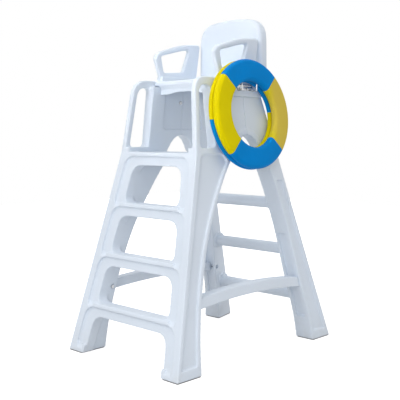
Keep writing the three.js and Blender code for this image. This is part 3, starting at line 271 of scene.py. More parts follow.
class StageSizes(bpy.types.PropertyGroup):
    """Camera, lamps and floor."""

    camera: FloatVectorProperty(
        name="Camera", description="Place of the camera", default=(2.831, -2.944, 1.1435), subtype="XYZ"
    )
    turn: FloatProperty(
        name="Turn", description="Camera's turn from +Y", default=math.radians(44.17), subtype="ANGLE"
    )
    dip: FloatProperty(
        name="Dip", description="Camera's tilt below level", default=math.radians(4.88), subtype="ANGLE"
    )
    lens: FloatProperty(name="Lens", description="Focal length in millimetres", default=67.2)
    key: FloatProperty(name="Key", description="Power of the main lamp in watts", default=46.0)
    fill: FloatProperty(name="Fill", description="Power of the fill lamp in watts", default=9.0)
    front: FloatProperty(name="Front", description="Power of the front lamp in watts", default=32.0)
    beam: FloatProperty(
        name="Beam", description="Power of the narrow lamp on the upper half in watts", default=1.1
    )
    beam_spread: FloatProperty(
        name="Beam spread",
        description="Spread of the narrow lamp",
        default=math.radians(24),
        subtype="ANGLE",
    )
    sky: FloatProperty(name="Sky", description="Strength of the light from the horizon", default=0.35)
    zenith: FloatProperty(
        name="Zenith", description="Strength of the light from straight above", default=1.12
    )
    floor_glow: FloatProperty(
        name="Floor glow", description="White that the floor shows by itself by the chair", default=0.72
    )


class ChairSettings(bpy.types.PropertyGroup):
    """All the chair's sizes and colours."""

    moulding: PointerProperty(type=MouldingSizes)
    lifebuoy: PointerProperty(type=LifebuoySizes)
    fitting: PointerProperty(type=FittingSizes)
    colours: PointerProperty(type=Colours)
    stage: PointerProperty(type=StageSizes)


# Working on one mesh


def box_of(node):
    """The lowest and the highest corner of a node's box."""
    low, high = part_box(node)
    return Vector(low), Vector(high)


def only(piece):
    """Selects one piece alone and makes it active."""
    bpy.ops.object.select_all(action="DESELECT")
    piece.select_set(True)
    bpy.context.view_layer.objects.active = piece


def edit(piece, mode="VERT"):
    """Opens a piece for editing with nothing selected."""
    only(piece)
    bpy.ops.object.mode_set(mode="EDIT")
    bpy.ops.mesh.select_mode(type=mode)
    bpy.ops.mesh.select_all(action="DESELECT")


def done():
    """Ends the editing of a piece."""
    bpy.ops.object.mode_set(mode="OBJECT")


def pick_level_faces(piece, way):
    """Selects the faces that look up, or down where way is -1, and leaves the piece open for editing."""
    edit(piece, "FACE")
    done()
    for face in piece.data.polygons:
        face.select = way * face.normal.z > LEVEL
    bpy.ops.object.mode_set(mode="EDIT")


def add_modifier(piece, kind, **values):
    """Puts a modifier with the given values on a piece."""
    modifier = piece.modifiers.new(kind.lower(), kind)
    for name, value in values.items():
        setattr(modifier, name, value)
    return modifier


def apply_modifiers(piece):
    """Makes all of a piece's modifiers part of its mesh."""
    only(piece)
    for name in [m.name for m in piece.modifiers]:
        bpy.ops.object.modifier_apply(modifier=name)


def settle(piece):
    """Puts a piece's place, turn and scale into its mesh."""
    only(piece)
    bpy.ops.object.transform_apply(location=True, rotation=True, scale=True)


def join(pieces):
    """Joins several meshes into the first."""
    bpy.ops.object.select_all(action="DESELECT")
    for piece in pieces:
        piece.select_set(True)
    bpy.context.view_layer.objects.active = pieces[0]
    bpy.ops.object.join()
    return pieces[0]


def bevel(piece, width, segments, angle=SHARP_EDGE):
    """Rounds the edges of a piece that are sharper than an angle."""
    add_modifier(piece, "BEVEL", width=width, segments=segments, angle_limit=angle)
    apply_modifiers(piece)


def new_block(name, size, place, turn):
    """A box of a given size, turned and put in its place."""
    bpy.ops.mesh.primitive_cube_add(size=1.0, location=place, rotation=turn)
    block = bpy.context.object
    block.name = name
    block.scale = size
    settle(block)
    return block


def new_bar(name, radius, length, place, turn=(0.0, 0.0, 0.0), sides=ROUND_SIDES):
    """A bar along Z, turned and put in its place."""
    bpy.ops.mesh.primitive_cylinder_add(
        vertices=sides, radius=radius, depth=length, location=place, rotation=turn
    )
    bar = bpy.context.object
    bar.name = name
    settle(bar)
    return bar


def finish_piece(piece, material, body, nodes, smooth=None):
    """Gives a piece its shading, its material and its body, and hides the frame's nodes that it stands
    for.
    """
    only(piece)
    if smooth is None:
        bpy.ops.object.shade_smooth()
    else:
        bpy.ops.object.shade_smooth_by_angle(angle=math.radians(smooth))
    piece.data.materials.clear()
    piece.data.materials.append(finish_of(material))
    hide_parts(*nodes)
    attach(piece, body)


def copy_of_node(node, name):
    """A new piece with the shape of one of the frame's nodes, its loose triangles joined."""
    piece = bpy.data.objects.new(name, frame["nodes"][node].data.copy())
    bpy.context.collection.objects.link(piece)
    edit(piece)
    bpy.ops.mesh.select_all(action="SELECT")
    bpy.ops.mesh.remove_doubles(threshold=MERGE)
    done()
    return piece


def soften(piece, fineness, rounds, kept, crisp=None):
    """Rounds every edge as moulding does: an even mesh, smoothed, then thinned on its flat faces.

    crisp(place) gives 0 where the smoothing leaves the mesh alone and 1 where it works fully.
    """
    add_modifier(piece, "REMESH", mode="VOXEL", voxel_size=fineness)
    apply_modifiers(piece)
    group = piece.vertex_groups.new(name="rounded")
    for vertex in piece.data.vertices:
        group.add([vertex.index], crisp(vertex.co) if crisp else 1.0, "REPLACE")
    add_modifier(piece, "SMOOTH", factor=0.5, iterations=rounds, vertex_group=group.name)
    add_modifier(piece, "DECIMATE", ratio=kept)
    apply_modifiers(piece)
    piece.vertex_groups.clear()


def across_fittings():
    """The axis and radius of each rung and bolt that runs across the chair: its Y, Z and radius."""
    fittings = []
    for node in frame["nodes"]:
        if node.startswith(("rear_rung", "seam_bolt", "beam_bolt")):
            low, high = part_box(node)
            fittings.append(((low[1] + high[1]) / 2, (low[2] + high[2]) / 2, (high[1] - low[1]) / 2))
    return fittings


def crispness(reach, spots=(), radius=0.0):
    """Keeps edges crisp near the seam, the rungs, the bolts and the given spots, and soft elsewhere."""
    fittings = across_fittings()

    def softness(place):
        apart = abs(place.y - SEAM_Y) - GAP
        for middle_y, middle_z, hole in fittings:
            apart = min(apart, math.hypot(place.y - middle_y, place.z - middle_z) - hole - GAP)
        for spot in spots:
            apart = min(apart, (place - spot).length - radius)
        return min(1.0, max(0.0, apart) / reach)

    return softness


# Materials


class Nodes:
    """A node tree that is filled from left to right."""

    def __init__(self, tree):
        self.tree = tree

    def add(self, kind, values=None, **settings):
        """A node with its settings, and with a link or a plain value in each named socket."""
        node = self.tree.nodes.new(kind)
        for name, value in settings.items():
            setattr(node, name, value)
        for name, value in (values or {}).items():
            self.put(value, node.inputs[name])
        return node

    def put(self, value, socket):
        """Links a socket to what another node gives, or sets it to a plain value."""
        if isinstance(value, bpy.types.NodeSocket):
            self.tree.links.new(value, socket)
        else:
            socket.default_value = value

    def maths(self, operation, first, second, clamp=False):
        """The result of one operation on two values."""
        node = self.add("ShaderNodeMath", {0: first, 1: second}, operation=operation, use_clamp=clamp)
        return node.outputs[0]

    def span(self, value, low, high, to_low=0.0, to_high=1.0):
        """Moves a value from one range to another, smoothly and without running past it."""
        values = {"Value": value, "From Min": low, "From Max": high}
        values |= {"To Min": to_low, "To Max": to_high}
        node = self.add("ShaderNodeMapRange", values, interpolation_type="SMOOTHSTEP")
        return node.outputs["Result"]

    def mix(self, share, first, second):
        """Two colours, with a share of the second."""
        node = self.add("ShaderNodeMix", data_type="RGBA")
        for index, value in ((0, share), (6, first), (7, second)):
            self.put(value, node.inputs[index])
        return node.outputs[2]

    def noise(self, place, scale, detail, roughness=0.5):
        """A cloudy value round one half."""
        values = {"Vector": place, "Scale": scale, "Detail": detail, "Roughness": roughness}
        return self.add("ShaderNodeTexNoise", values).outputs["Fac"]


def new_group(name, inputs, outputs):
    """An empty shader node group with named sockets, and its inner ends."""
    tree = bpy.data.node_groups.new(name, "ShaderNodeTree")
    for label, kind, value in inputs:
        socket = tree.interface.new_socket(label, in_out="INPUT", socket_type=kind)
        if value is not None:
            socket.default_value = value
    for label, kind in outputs:
        tree.interface.new_socket(label, in_out="OUTPUT", socket_type=kind)
    nodes = Nodes(tree)
    return nodes, nodes.add("NodeGroupInput").outputs, nodes.add("NodeGroupOutput").inputs


def make_grain_group():
    """The fine skin of a moulded surface, as a height, with a broad unevenness under it."""
    nodes, given, made = new_group(
        "Moulded grain",
        [
            ("Place", "NodeSocketVector", None),
            ("Grain size", "NodeSocketFloat", 900.0),
            ("Ripple size", "NodeSocketFloat", 14.0),
            ("Ripple share", "NodeSocketFloat", 0.5),
        ],
        [("Height", "NodeSocketFloat"), ("Tone", "NodeSocketFloat")],
    )
    grain = nodes.noise(given["Place"], given["Grain size"], detail=2.0)
    ripple = nodes.noise(given["Place"], given["Ripple size"], detail=1.0)
    scaled = nodes.maths("MULTIPLY", ripple, given["Ripple share"])
    nodes.put(nodes.maths("ADD", grain, scaled), made["Height"])
    nodes.put(nodes.noise(given["Place"], 3.0, detail=4.0), made["Tone"])


def make_dust_group():
    """A mask of dust: on faces that look up, and rising in patches from the ground."""
    nodes, given, made = new_group(
        "Settled dust",
        [
            ("Place", "NodeSocketVector", None),
            ("Ground reach", "NodeSocketFloat", 0.25),
            ("Top share", "NodeSocketFloat", 0.3),
            ("Patch size", "NodeSocketFloat", 9.0),
        ],
        [("Mask", "NodeSocketFloat"), ("Scuffs", "NodeSocketFloat")],
    )
    height = nodes.add("ShaderNodeSeparateXYZ", {0: given["Place"]}).outputs["Z"]
    low = nodes.maths("DIVIDE", height, given["Ground reach"])
    ground = nodes.maths("SUBTRACT", 1.0, low, clamp=True)
    normal = nodes.add("ShaderNodeNewGeometry").outputs["Normal"]
    upward = nodes.add("ShaderNodeSeparateXYZ", {0: normal}).outputs["Z"]
    top = nodes.maths("MULTIPLY", nodes.span(upward, 0.75, 0.98), given["Top share"])
    patches = nodes.noise(given["Place"], given["Patch size"], detail=6.0, roughness=0.62)
    patchy = nodes.span(patches, 0.38, 0.72)
    both = nodes.maths("ADD", nodes.maths("MULTIPLY", ground, 0.55), top)
    nodes.put(nodes.maths("MULTIPLY", both, patchy, clamp=True), made["Mask"])
    stretched = nodes.add("ShaderNodeMapping", {"Vector": given["Place"], "Scale": (60.0, 14.0, 90.0)})
    scratch = nodes.noise(stretched.outputs["Vector"], 1.0, detail=2.0)
    fine = nodes.span(scratch, 0.66, 0.74)
    nodes.put(nodes.maths("MULTIPLY", fine, top), made["Scuffs"])


def make_edge_shading_group():
    """Masks of painted light from the curve of the surface: a painted highlight on edges, in patches,
    and painted shade in hollows.
    """
    nodes, given, made = new_group(
        "Rubbed edges",
        [("Place", "NodeSocketVector", None), ("Patch size", "NodeSocketFloat", 20.0)],
        [("Edges", "NodeSocketFloat"), ("Hollows", "NodeSocketFloat")],
    )
    curve = nodes.add("ShaderNodeNewGeometry").outputs["Pointiness"]
    patches = nodes.span(nodes.noise(given["Place"], given["Patch size"], detail=3.0), 0.35, 0.65)
    # Painted highlight: convex edges, broken into patches
    edges = nodes.maths("MULTIPLY", nodes.span(curve, 0.52, 0.60), patches)
    nodes.put(edges, made["Edges"])
    # Painted shade: hollows and inner corners
    nodes.put(nodes.span(curve, 0.48, 0.40), made["Hollows"])


def make_pores_group():
    """The closed cells of foam, as a height and a faint tone."""
    nodes, given, made = new_group(
        "Foam cells",
        [("Place", "NodeSocketVector", None), ("Cell size", "NodeSocketFloat", 700.0)],
        [("Height", "NodeSocketFloat"), ("Tone", "NodeSocketFloat")],
    )
    cells = nodes.add("ShaderNodeTexVoronoi", {"Vector": given["Place"], "Scale": given["Cell size"]})
    broad = nodes.noise(given["Place"], 18.0, detail=3.0)
    scaled = nodes.maths("MULTIPLY", broad, 1.5)
    nodes.put(nodes.maths("ADD", cells.outputs["Distance"], scaled), made["Height"])
    nodes.put(nodes.noise(given["Place"], 7.0, detail=4.0), made["Tone"])


def place_group(nodes, name, values):
    """Places a node group in a material with its own values."""
    group = nodes.add("ShaderNodeGroup", node_tree=bpy.data.node_groups[name])
    for label, value in values.items():
        nodes.put(value, group.inputs[label])
    return group.outputs


def finish_of(name):
    """The scene's own material; the frame's plain one has the bare name."""
    return bpy.data.materials[f"{name}_finish"]


def new_material(name):
    """The nodes, the shader and the object coordinates of a material with nothing linked yet."""
    material = bpy.data.materials.new(f"{name}_finish")
    material.use_nodes = True
    nodes = Nodes(material.node_tree)
    shader = material.node_tree.nodes["Principled BSDF"]
    place = nodes.add("ShaderNodeTexCoord").outputs["Object"]
    return nodes, shader, place


def bump(nodes, shader, height, distance, strength):
    """Turns a height into the shader's normal."""
    values = {"Height": height, "Distance": distance, "Strength": strength}
    nodes.put(nodes.add("ShaderNodeBump", values).outputs["Normal"], shader.inputs["Normal"])


def opaque(colour, share=1.0):
    """A colour, or a share of it, with full alpha."""
    return (*[c * share for c in colour], 1.0)


def make_white_plastic(colours):
    """Satin moulded plastic: painted shade in its hollows, a painted highlight on its edges in patches,
    dusty near the ground.
    """
    nodes, shader, place = new_material("white_plastic")
    skin = {"Place": place, "Grain size": 520.0, "Ripple share": 1.6}
    grain = place_group(nodes, "Moulded grain", skin)
    dust = place_group(nodes, "Settled dust", {"Place": place, "Ground reach": 0.16, "Top share": 0.22})
    edge_shading = place_group(nodes, "Rubbed edges", {"Place": place})
    white = colours.white
    base = nodes.mix(nodes.span(grain["Tone"], 0.3, 0.7), opaque(white, 0.975), opaque(white, 1.015))
    # Painted shade: hollows go over to a darker white
    shaded_hollows = nodes.mix(nodes.maths("MULTIPLY", edge_shading["Hollows"], 0.45), base, opaque(white, 0.72))
    # Painted highlight: edges go over to a lighter white, in patches
    highlit_edges = nodes.mix(nodes.maths("MULTIPLY", edge_shading["Edges"], 0.35), shaded_hollows, opaque(white, 1.08))
    dusty = nodes.mix(nodes.maths("MULTIPLY", dust["Mask"], 0.5), highlit_edges, opaque(colours.dust))
    scuffed = nodes.mix(nodes.maths("MULTIPLY", dust["Scuffs"], 0.8), dusty, opaque(colours.dust, 0.7))
    nodes.put(scuffed, shader.inputs["Base Color"])
    satin = nodes.maths("ADD", nodes.span(grain["Tone"], 0.3, 0.7, 0.34, 0.44), dust["Mask"])
    nodes.put(nodes.maths("MINIMUM", satin, 0.75), shader.inputs["Roughness"])
    shader.inputs["Specular IOR Level"].default_value = 0.42
    bump(nodes, shader, grain["Height"], 0.00035, 0.6)


def make_foam(name, first, second, sheen_from=None, sheen_to=None):
    """Closed-cell foam of one colour, its edges lighter in the second colour as a painted highlight;
    where a span along Y is given, a painted sheen takes it over to the second colour.
    """
    nodes, shader, place = new_material(name)
    pores = place_group(nodes, "Foam cells", {"Place": place})
    dust = place_group(nodes, "Settled dust", {"Place": place, "Ground reach": 0.01, "Top share": 0.25})
    edge_shading = place_group(nodes, "Rubbed edges", {"Place": place, "Patch size": 30.0})
    tone = nodes.span(pores["Tone"], 0.25, 0.75)
    base = nodes.mix(tone, opaque(first, 0.93), opaque(first, 1.05))
    # Painted sheen: along Y the colour goes over to the second one
    if sheen_from is not None:
        along = nodes.add("ShaderNodeSeparateXYZ", {0: place}).outputs["Y"]
        wobble = nodes.maths("MULTIPLY", nodes.noise(place, 6.0, detail=3.0), 0.03)
        sheen_share = nodes.span(nodes.maths("ADD", along, wobble), sheen_from, sheen_to)
        base = nodes.mix(sheen_share, base, opaque(second))
    # Painted highlight: edges go over to a lighter second colour, in patches
    highlit_edges = nodes.mix(nodes.maths("MULTIPLY", edge_shading["Edges"], 0.25), base, opaque(second, 1.1))
    dusty = nodes.mix(nodes.maths("MULTIPLY", dust["Mask"], 0.1), highlit_edges, FOAM_DUST)
    nodes.put(dusty, shader.inputs["Base Color"])
    satin = nodes.span(pores["Tone"], 0.25, 0.75, 0.42, 0.56)
    nodes.put(satin, shader.inputs["Roughness"])
    shader.inputs["Specular IOR Level"].default_value = 0.05
    bump(nodes, shader, pores["Height"], 0.0004, 0.35)


def make_steel(name, colour, roughness, stretch):
    """Satin steel with fine lines along one direction."""
    nodes, shader, place = new_material(name)
    drawn = nodes.add("ShaderNodeMapping", {"Vector": place, "Scale": stretch}).outputs["Vector"]
    lines = nodes.noise(drawn, 1.0, detail=3.0, roughness=0.7)
    stains = nodes.span(nodes.noise(place, 70.0, detail=4.0), 0.45, 0.75)
    base = nodes.mix(lines, opaque(colour, 0.9), opaque(colour, 1.08))
    stained = nodes.mix(nodes.maths("MULTIPLY", stains, 0.35), base, opaque(colour, 0.55))
    nodes.put(stained, shader.inputs["Base Color"])
    shader.inputs["Metallic"].default_value = 1.0
    satin = nodes.span(lines, 0.2, 0.8, roughness, roughness + 0.16)
    nodes.put(satin, shader.inputs["Roughness"])
    bump(nodes, shader, lines, 0.00008, 0.5)


def make_rubber(colour):
    """Dull rubber with grit."""
    nodes, shader, place = new_material("foot_rubber")
    dust = place_group(nodes, "Settled dust", {"Place": place, "Ground reach": 0.02, "Patch size": 40.0})
    grit = nodes.noise(place, 400.0, detail=3.0)
    base = nodes.mix(nodes.span(grit, 0.3, 0.7), opaque(colour, 0.8), opaque(colour, 1.4))
    nodes.put(nodes.mix(dust["Mask"], base, RUBBER_DUST), shader.inputs["Base Color"])
    nodes.put(nodes.span(grit, 0.3, 0.7, 0.75, 0.9), shader.inputs["Roughness"])
    bump(nodes, shader, grit, 0.0003, 0.6)


class CHAIR_OT_finishes(bpy.types.Operator):
    """Make the materials and give one to every node of the frame"""

    bl_idname = "chair.finishes"
    bl_label = "Finishes"

    def execute(self, context):
        colours = context.scene.chair.colours
        make_grain_group()
        make_dust_group()
        make_edge_shading_group()
        make_pores_group()
        make_white_plastic(colours)
        make_foam("blue_foam", colours.blue, colours.blue)
        make_foam("yellow_foam", colours.yellow, colours.yellow)
        # Painted sheen: the right front arc goes from yellow to a hazy mustard between its low Y end and
        # its middle
        low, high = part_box("buoy_front_right")
        make_foam("faded_foam", colours.yellow, colours.faded, low[1], (low[1] + high[1]) / 2)
        make_steel("hook_steel", colours.steel, 0.2, WIRE_LINES)
        make_steel("bolt_steel", colours.steel, 0.45, BOLT_LINES)
        make_rubber(colours.rubber)
        for part in frame["record"]["subparts"]:
            node = frame["nodes"][part["node"]]
            node.data.materials.clear()
            node.data.materials.append(finish_of(part["material_slot"]))
        return {"FINISHED"}


# White mouldings


def moulding(node, name, fineness, rounds, kept, crisp=None, cutter=None):
    """A white moulding with the shape of one node and soft edges, less what a cutter takes away."""
    piece = copy_of_node(node, name)
    if cutter is not None:
        add_modifier(piece, "BOOLEAN", object=cutter, operation="DIFFERENCE", solver="EXACT")
        apply_modifiers(piece)
        bpy.data.objects.remove(cutter)
    soften(piece, fineness, rounds, kept, crisp)
    finish_piece(piece, "white_plastic", "root", [node])
    return piece


def run_out_corner(side, height, sizes):
    """Where the back of a sunken field meets its foot, in the middle of the strip on one side."""
    across = side * (FACE_FOOT.x - SIDE_SLOPE * height - sizes.run_out_place)
    return Vector((across, FACE_FOOT.y + FACE_SLOPE * height + FIELD_SINK, height))


def run_out(corner, sizes):
    """A block that slopes the foot of a sunken field up to the ladder's face."""
    inward = Vector((0.0, math.sqrt(0.5), math.sqrt(0.5)))
    outward = Vector((0.0, -math.sqrt(0.5), math.sqrt(0.5)))
    middle = corner + RUN_OUT_REACH * (outward - inward)
    size = (sizes.run_out_width, 2 * RUN_OUT_REACH, 2 * RUN_OUT_REACH)
    block = new_block("run_out", size, middle, (math.pi / 4, 0.0, 0.0))
    bevel(block, RUN_OUT_REACH / 4, 3)
    return block


class CHAIR_OT_ladder(bpy.types.Operator):
    """Make the front moulding: ladder, front legs, handrails and the front half of the side walls"""

    bl_idname = "chair.ladder"
    bl_label = "Ladder moulding"

    def execute(self, context):
        sizes = context.scene.chair.moulding
        corners = [run_out_corner(side, height, sizes) for side in (1, -1) for height in FIELD_FEET]
        blocks = [run_out(corner, sizes) for corner in corners]
        crisp = crispness(sizes.seam_reach, corners, sizes.run_out_width / 2)
        values = (sizes.fineness, sizes.rounds, sizes.thinning, crisp)
        moulding("ladder_moulding", "ladder_shell", *values, cutter=join(blocks))
        return {"FINISHED"}


class CHAIR_OT_rear_legs(bpy.types.Operator):
    """Make the two rear mouldings"""

    bl_idname = "chair.rear_legs"
    bl_label = "Rear legs"

    def execute(self, context):
        sizes = context.scene.chair.moulding
        crisp = crispness(sizes.seam_reach)
        for side in ("right", "left"):
            name = f"rear_leg_{side}"
            moulding(name, f"{name}_shell", sizes.fineness, sizes.rear_rounds, sizes.thinning, crisp)
        return {"FINISHED"}


class CHAIR_OT_seat(bpy.types.Operator):
    """Make the seat, the backrest and the platform's panel"""

    bl_idname = "chair.seat"
    bl_label = "Seat, backrest and platform"

    def execute(self, context):
        sizes = context.scene.chair.moulding
        for node in ("seat", "backrest", "platform_panel"):
            moulding(node, f"{node}_shell", sizes.small_fineness, sizes.small_rounds, sizes.thinning)
        return {"FINISHED"}


class CHAIR_OT_armrests(bpy.types.Operator):
    """Make the two armrests"""

    bl_idname = "chair.armrests"
    bl_label = "Armrests"

    def execute(self, context):
        sizes = context.scene.chair.moulding
        for side in ("right", "left"):
            name = f"armrest_{side}"
            moulding(name, f"{name}_shell", sizes.arm_fineness, sizes.rounds, sizes.thinning)
        return {"FINISHED"}


class CHAIR_OT_beams(bpy.types.Operator):
    """Make the two side beams"""

    bl_idname = "chair.beams"
    bl_label = "Side beams"

    def execute(self, context):
        sizes = context.scene.chair.moulding
        for side in ("right", "left"):
            name = f"side_beam_{side}"
            moulding(name, f"{name}_shell", sizes.small_fineness, sizes.small_rounds, sizes.thinning)
        return {"FINISHED"}


def socket_mouth(leg, low, high):
    """The middle, in X, of the rim where a rung enters a leg; the socket's bottom is left out."""
    middle, radius = (low + high) / 2, (high.z - low.z) / 2
    near_rim = radius / 20
    socket_bottom = high.x - radius / 4
    rim = []
    for vertex in frame["nodes"][leg].data.vertices:
        place = vertex.co
        apart = math.hypot(place.y - middle.y, place.z - middle.z)
        if abs(apart - radius) < near_rim and abs(place.x) < socket_bottom:
            rim.append(place.x)
    return (min(rim) + max(rim)) / 2


def collar(leg, low, high, sizes):
    """The flare that closes the joint between a rung and the leaning face of a leg."""
    middle = (low + high) / 2
    mouth = socket_mouth(leg, low, high)
    lean = math.copysign(WALL_LEAN, mouth)
    radius = (high.z - low.z) / 2 + sizes.collar
    turn = (0.0, math.pi / 2 - lean, 0.0)
    piece = new_bar("collar", radius, 2 * sizes.collar, (mouth, middle.y, middle.z), turn)
    bevel(piece, FLARE_SHARE * sizes.collar, 5)
    return piece


class CHAIR_OT_rungs(bpy.types.Operator):
    """Make the round rungs between the rear legs"""

    bl_idname = "chair.rungs"
    bl_label = "Rear rungs"

    def execute(self, context):
        sizes = context.scene.chair.fitting
        nodes = sorted(n for n in frame["nodes"] if n.startswith("rear_rung"))
        for node in nodes:
            low, high = box_of(node)
            size, middle = high - low, (low + high) / 2
            piece = new_bar(f"{node}_bar", size.z / 2, size.x, middle, (0.0, math.pi / 2, 0.0))
            bevel(piece, 2 * sizes.chamfer, 3)
            collars = [collar(f"rear_leg_{side}", low, high, sizes) for side in ("right", "left")]
            finish_piece(join([piece, *collars]), "white_plastic", "root", [node], smooth=35)
        return {"FINISHED"}


# Lifebuoy


def lifebuoy_place():
    """The matrix from the lifebuoy's own frame, with its axis along Z, to the chair's."""
    arcs = [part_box(n) for n in frame["nodes"] if n.startswith("buoy_")]
    low = Vector([min(a[0][i] for a in arcs) for i in range(3)])
    high = Vector([max(a[1][i] for a in arcs) for i in range(3)])
    middle = (low + high) / 2
    out = Vector((math.cos(WALL_LEAN), 0.0, math.sin(WALL_LEAN)))
    up = Vector((-math.sin(WALL_LEAN), 0.0, math.cos(WALL_LEAN)))
    side = Vector((0.0, 1.0, 0.0))
    turned = Matrix((side, up, out)).transposed().to_4x4()
    return Matrix.Translation(middle) @ turned


def foam_layer(name, sizes, facing):
    """One whole layer, spun round Z: square where it is glued, round at its free edges."""
    half = (sizes.front_thickness + sizes.back_thickness) / 2
    glued = GAP / 2 + facing * (sizes.back_thickness - half)
    edge = sizes.front_edge if facing > 0 else sizes.back_edge
    width = sizes.radius - sizes.hole
    middle = ((sizes.radius + sizes.hole) / 2, 0.0, (half + glued) / 2)
    bpy.ops.mesh.primitive_plane_add(size=1.0, location=middle, rotation=(math.pi / 2, 0.0, 0.0))
    piece = bpy.context.object
    piece.name = name
    piece.scale = (width, half - glued, 1.0)
    settle(piece)
    for vertex in piece.data.vertices:
        vertex.select = vertex.co.z > middle[2]
    bpy.ops.object.mode_set(mode="EDIT")
    bpy.ops.mesh.select_mode(type="VERT")
    bpy.ops.mesh.bevel(offset=edge, segments=8, affect="VERTICES")
    bpy.ops.mesh.select_all(action="SELECT")
    bpy.ops.mesh.delete(type="ONLY_FACE")
    bpy.ops.mesh.select_all(action="SELECT")
    bpy.ops.mesh.spin(steps=120, angle=2 * math.pi, center=(0, 0, 0), axis=(0, 0, 1))
    bpy.ops.mesh.select_all(action="SELECT")
    bpy.ops.mesh.remove_doubles(threshold=MERGE)
    done()
    if facing < 0:
        piece.rotation_euler = (math.pi, 0.0, 0.0)
        settle(piece)
    return piece


def cut_arc(piece, start):
    """Keeps the quarter of a layer that begins at an angle."""
    edit(piece)
    for angle in (start, start + math.pi / 2):
        direction = Vector((math.cos(angle), math.sin(angle), 0.0))
        bpy.ops.mesh.select_all(action="SELECT")
        bpy.ops.mesh.bisect(
            plane_co=direction * GAP / 2, plane_no=direction, use_fill=True, clear_inner=True
        )
    bpy.ops.mesh.select_all(action="SELECT")
    bpy.ops.mesh.normals_make_consistent(inside=False)
    done()


class CHAIR_OT_lifebuoy(bpy.types.Operator):
    """Make the lifebuoy: two layers of foam, four arcs each"""

    bl_idname = "chair.lifebuoy"
    bl_label = "Lifebuoy"

    def execute(self, context):
        sizes = context.scene.chair.lifebuoy
        place = lifebuoy_place()
        layers = (
            ("front", 1, sizes.front_turn, 0, FRONT_FOAMS),
            ("back", -1, sizes.back_turn, 1, BACK_FOAMS),
        )
        for layer, facing, turn, offset, foams in layers:
            for side, index in ARC_TURNS.items():
                node = f"buoy_{layer}_{side}"
                piece = foam_layer(f"{node}_foam", sizes, facing)
                cut_arc(piece, turn + (index + offset) * math.pi / 2)
                bevel(piece, sizes.seam, 2, math.radians(60))
                piece.matrix_world = place
                settle(piece)
                finish_piece(piece, foams[side], "lifebuoy", [node], smooth=40)
        return {"FINISHED"}


# Hooks, bolts, screws and pads


def wire_run(name, points, diameter):
    """A closed mesh tube through points, with smooth bends."""
    curve = bpy.data.curves.new(name, "CURVE")
    curve.dimensions = "3D"
    curve.bevel_depth = diameter / 2
    curve.bevel_resolution = 5
    curve.use_fill_caps = True
    curve.resolution_u = 10
    spline = curve.splines.new("NURBS")
    spline.points.add(len(points) - 1)
    for target, point in zip(spline.points, points):
        target.co = (*point, 1.0)
    spline.use_endpoint_u = True
    spline.order_u = 3
    piece = bpy.data.objects.new(name, curve)
    bpy.context.collection.objects.link(piece)
    only(piece)
    bpy.ops.object.convert(target="MESH")
    return bpy.context.object


def hook(y, low, high, sizes):
    """One wire hook: out of the plate, along, and up to its round tip under the foam."""
    base = high.x - sizes.wire / 2
    foot = low.z + sizes.wire / 2
    inner = low.x + sizes.plate
    bend = sizes.hook_bend
    tip = foot + sizes.hook_drop
    points = [
        (inner - sizes.plate / 2, y, foot + bend),
        (inner + bend / 2, y, foot + bend),
        (inner + bend, y, foot + bend / 2),
        (inner + bend, y, foot),
        (inner + 2 * bend, y, foot),
        (base - bend / 2, y, foot),
        (base, y, foot + bend / 3),
        (base, y, foot + bend),
        (base, y, tip - sizes.wire / 2),
        (base, y, tip),
    ]
    return wire_run("hook", points, sizes.wire)


class CHAIR_OT_hooks(bpy.types.Operator):
    """Make the bracket with its two wire hooks"""

    bl_idname = "chair.hooks"
    bl_label = "Hook bracket"

    def execute(self, context):
        sizes = context.scene.chair.fitting
        low, high = box_of("hook_bracket")
        middle_y = (low.y + high.y) / 2
        screw_low, screw_high = box_of("bracket_screw_1")
        # The screws sit a fifth of the plate's height below its middle, and the bar a third above it
        middle_z = (screw_low.z + screw_high.z) / 2 + sizes.plate_height / 5
        plate_x = low.x + SIDE_SLOPE * sizes.plate_height / 2 + sizes.plate / 2
        size = (sizes.plate, high.y - low.y, sizes.plate_height)
        place = (plate_x, middle_y, middle_z)
        plate = new_block("hook_bracket_wires", size, place, (0.0, -WALL_LEAN, 0.0))
        bevel(plate, sizes.plate / 4, 2)
        half = sizes.hook_spacing / 2
        hooks = [hook(middle_y + apart, low, high, sizes) for apart in (-half, half)]
        bar_x = plate_x + sizes.plate / 2 + sizes.wire / 4 - SIDE_SLOPE * sizes.plate_height / 3
        bar_z = middle_z + sizes.plate_height / 3
        points = [(bar_x, middle_y + apart, bar_z) for apart in (-half, 0.0, half)]
        bar = wire_run("bar", points, sizes.wire)
        finish_piece(join([plate, *hooks, bar]), "hook_steel", "root", ["hook_bracket"], smooth=40)
        return {"FINISHED"}


def bolt_head(name, size, height, chamfer):
    """A hexagon head along Z with a chamfered top, a washer face and a short shank below."""
    corner = size / math.sqrt(3)
    piece = new_bar(name, corner, height, (0.0, 0.0, height / 2), sides=6)
    pick_level_faces(piece, 1)
    bpy.ops.mesh.inset(thickness=chamfer)
    done()
    for vertex in piece.data.vertices:
        if vertex.co.xy.length > corner - chamfer / 2 and vertex.co.z > height / 2:
            vertex.co.z -= CHAMFER_FALL * chamfer
    pick_level_faces(piece, -1)
    bpy.ops.mesh.inset(thickness=size * WASHER_SHARE)
    bpy.ops.mesh.extrude_region_move(TRANSFORM_OT_translate={"value": (0, 0, -height)})
    done()
    bevel(piece, chamfer / 4, 2, math.radians(25))
    return piece


# Which way each kind of bolt across the chair has its head: 1 outwards, -1 inwards
BOLTS = {
    "seam_bolt": -1,
    "beam_bolt": -1,
    "seat_screw": 1,
    "bracket_screw": 1,
}


def bolt_direction(node):
    """The way that a bolt's head faces: across the chair, or to the rear for the backrest's."""
    if node.startswith("backrest_bolt"):
        return Vector((0, 1, 0))
    outward = next(way for kind, way in BOLTS.items() if node.startswith(kind))
    low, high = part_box(node)
    side = 1 if low[0] + high[0] > 0 else -1
    across = outward * side
    return Vector((across * math.cos(WALL_LEAN), 0.0, outward * math.sin(WALL_LEAN)))


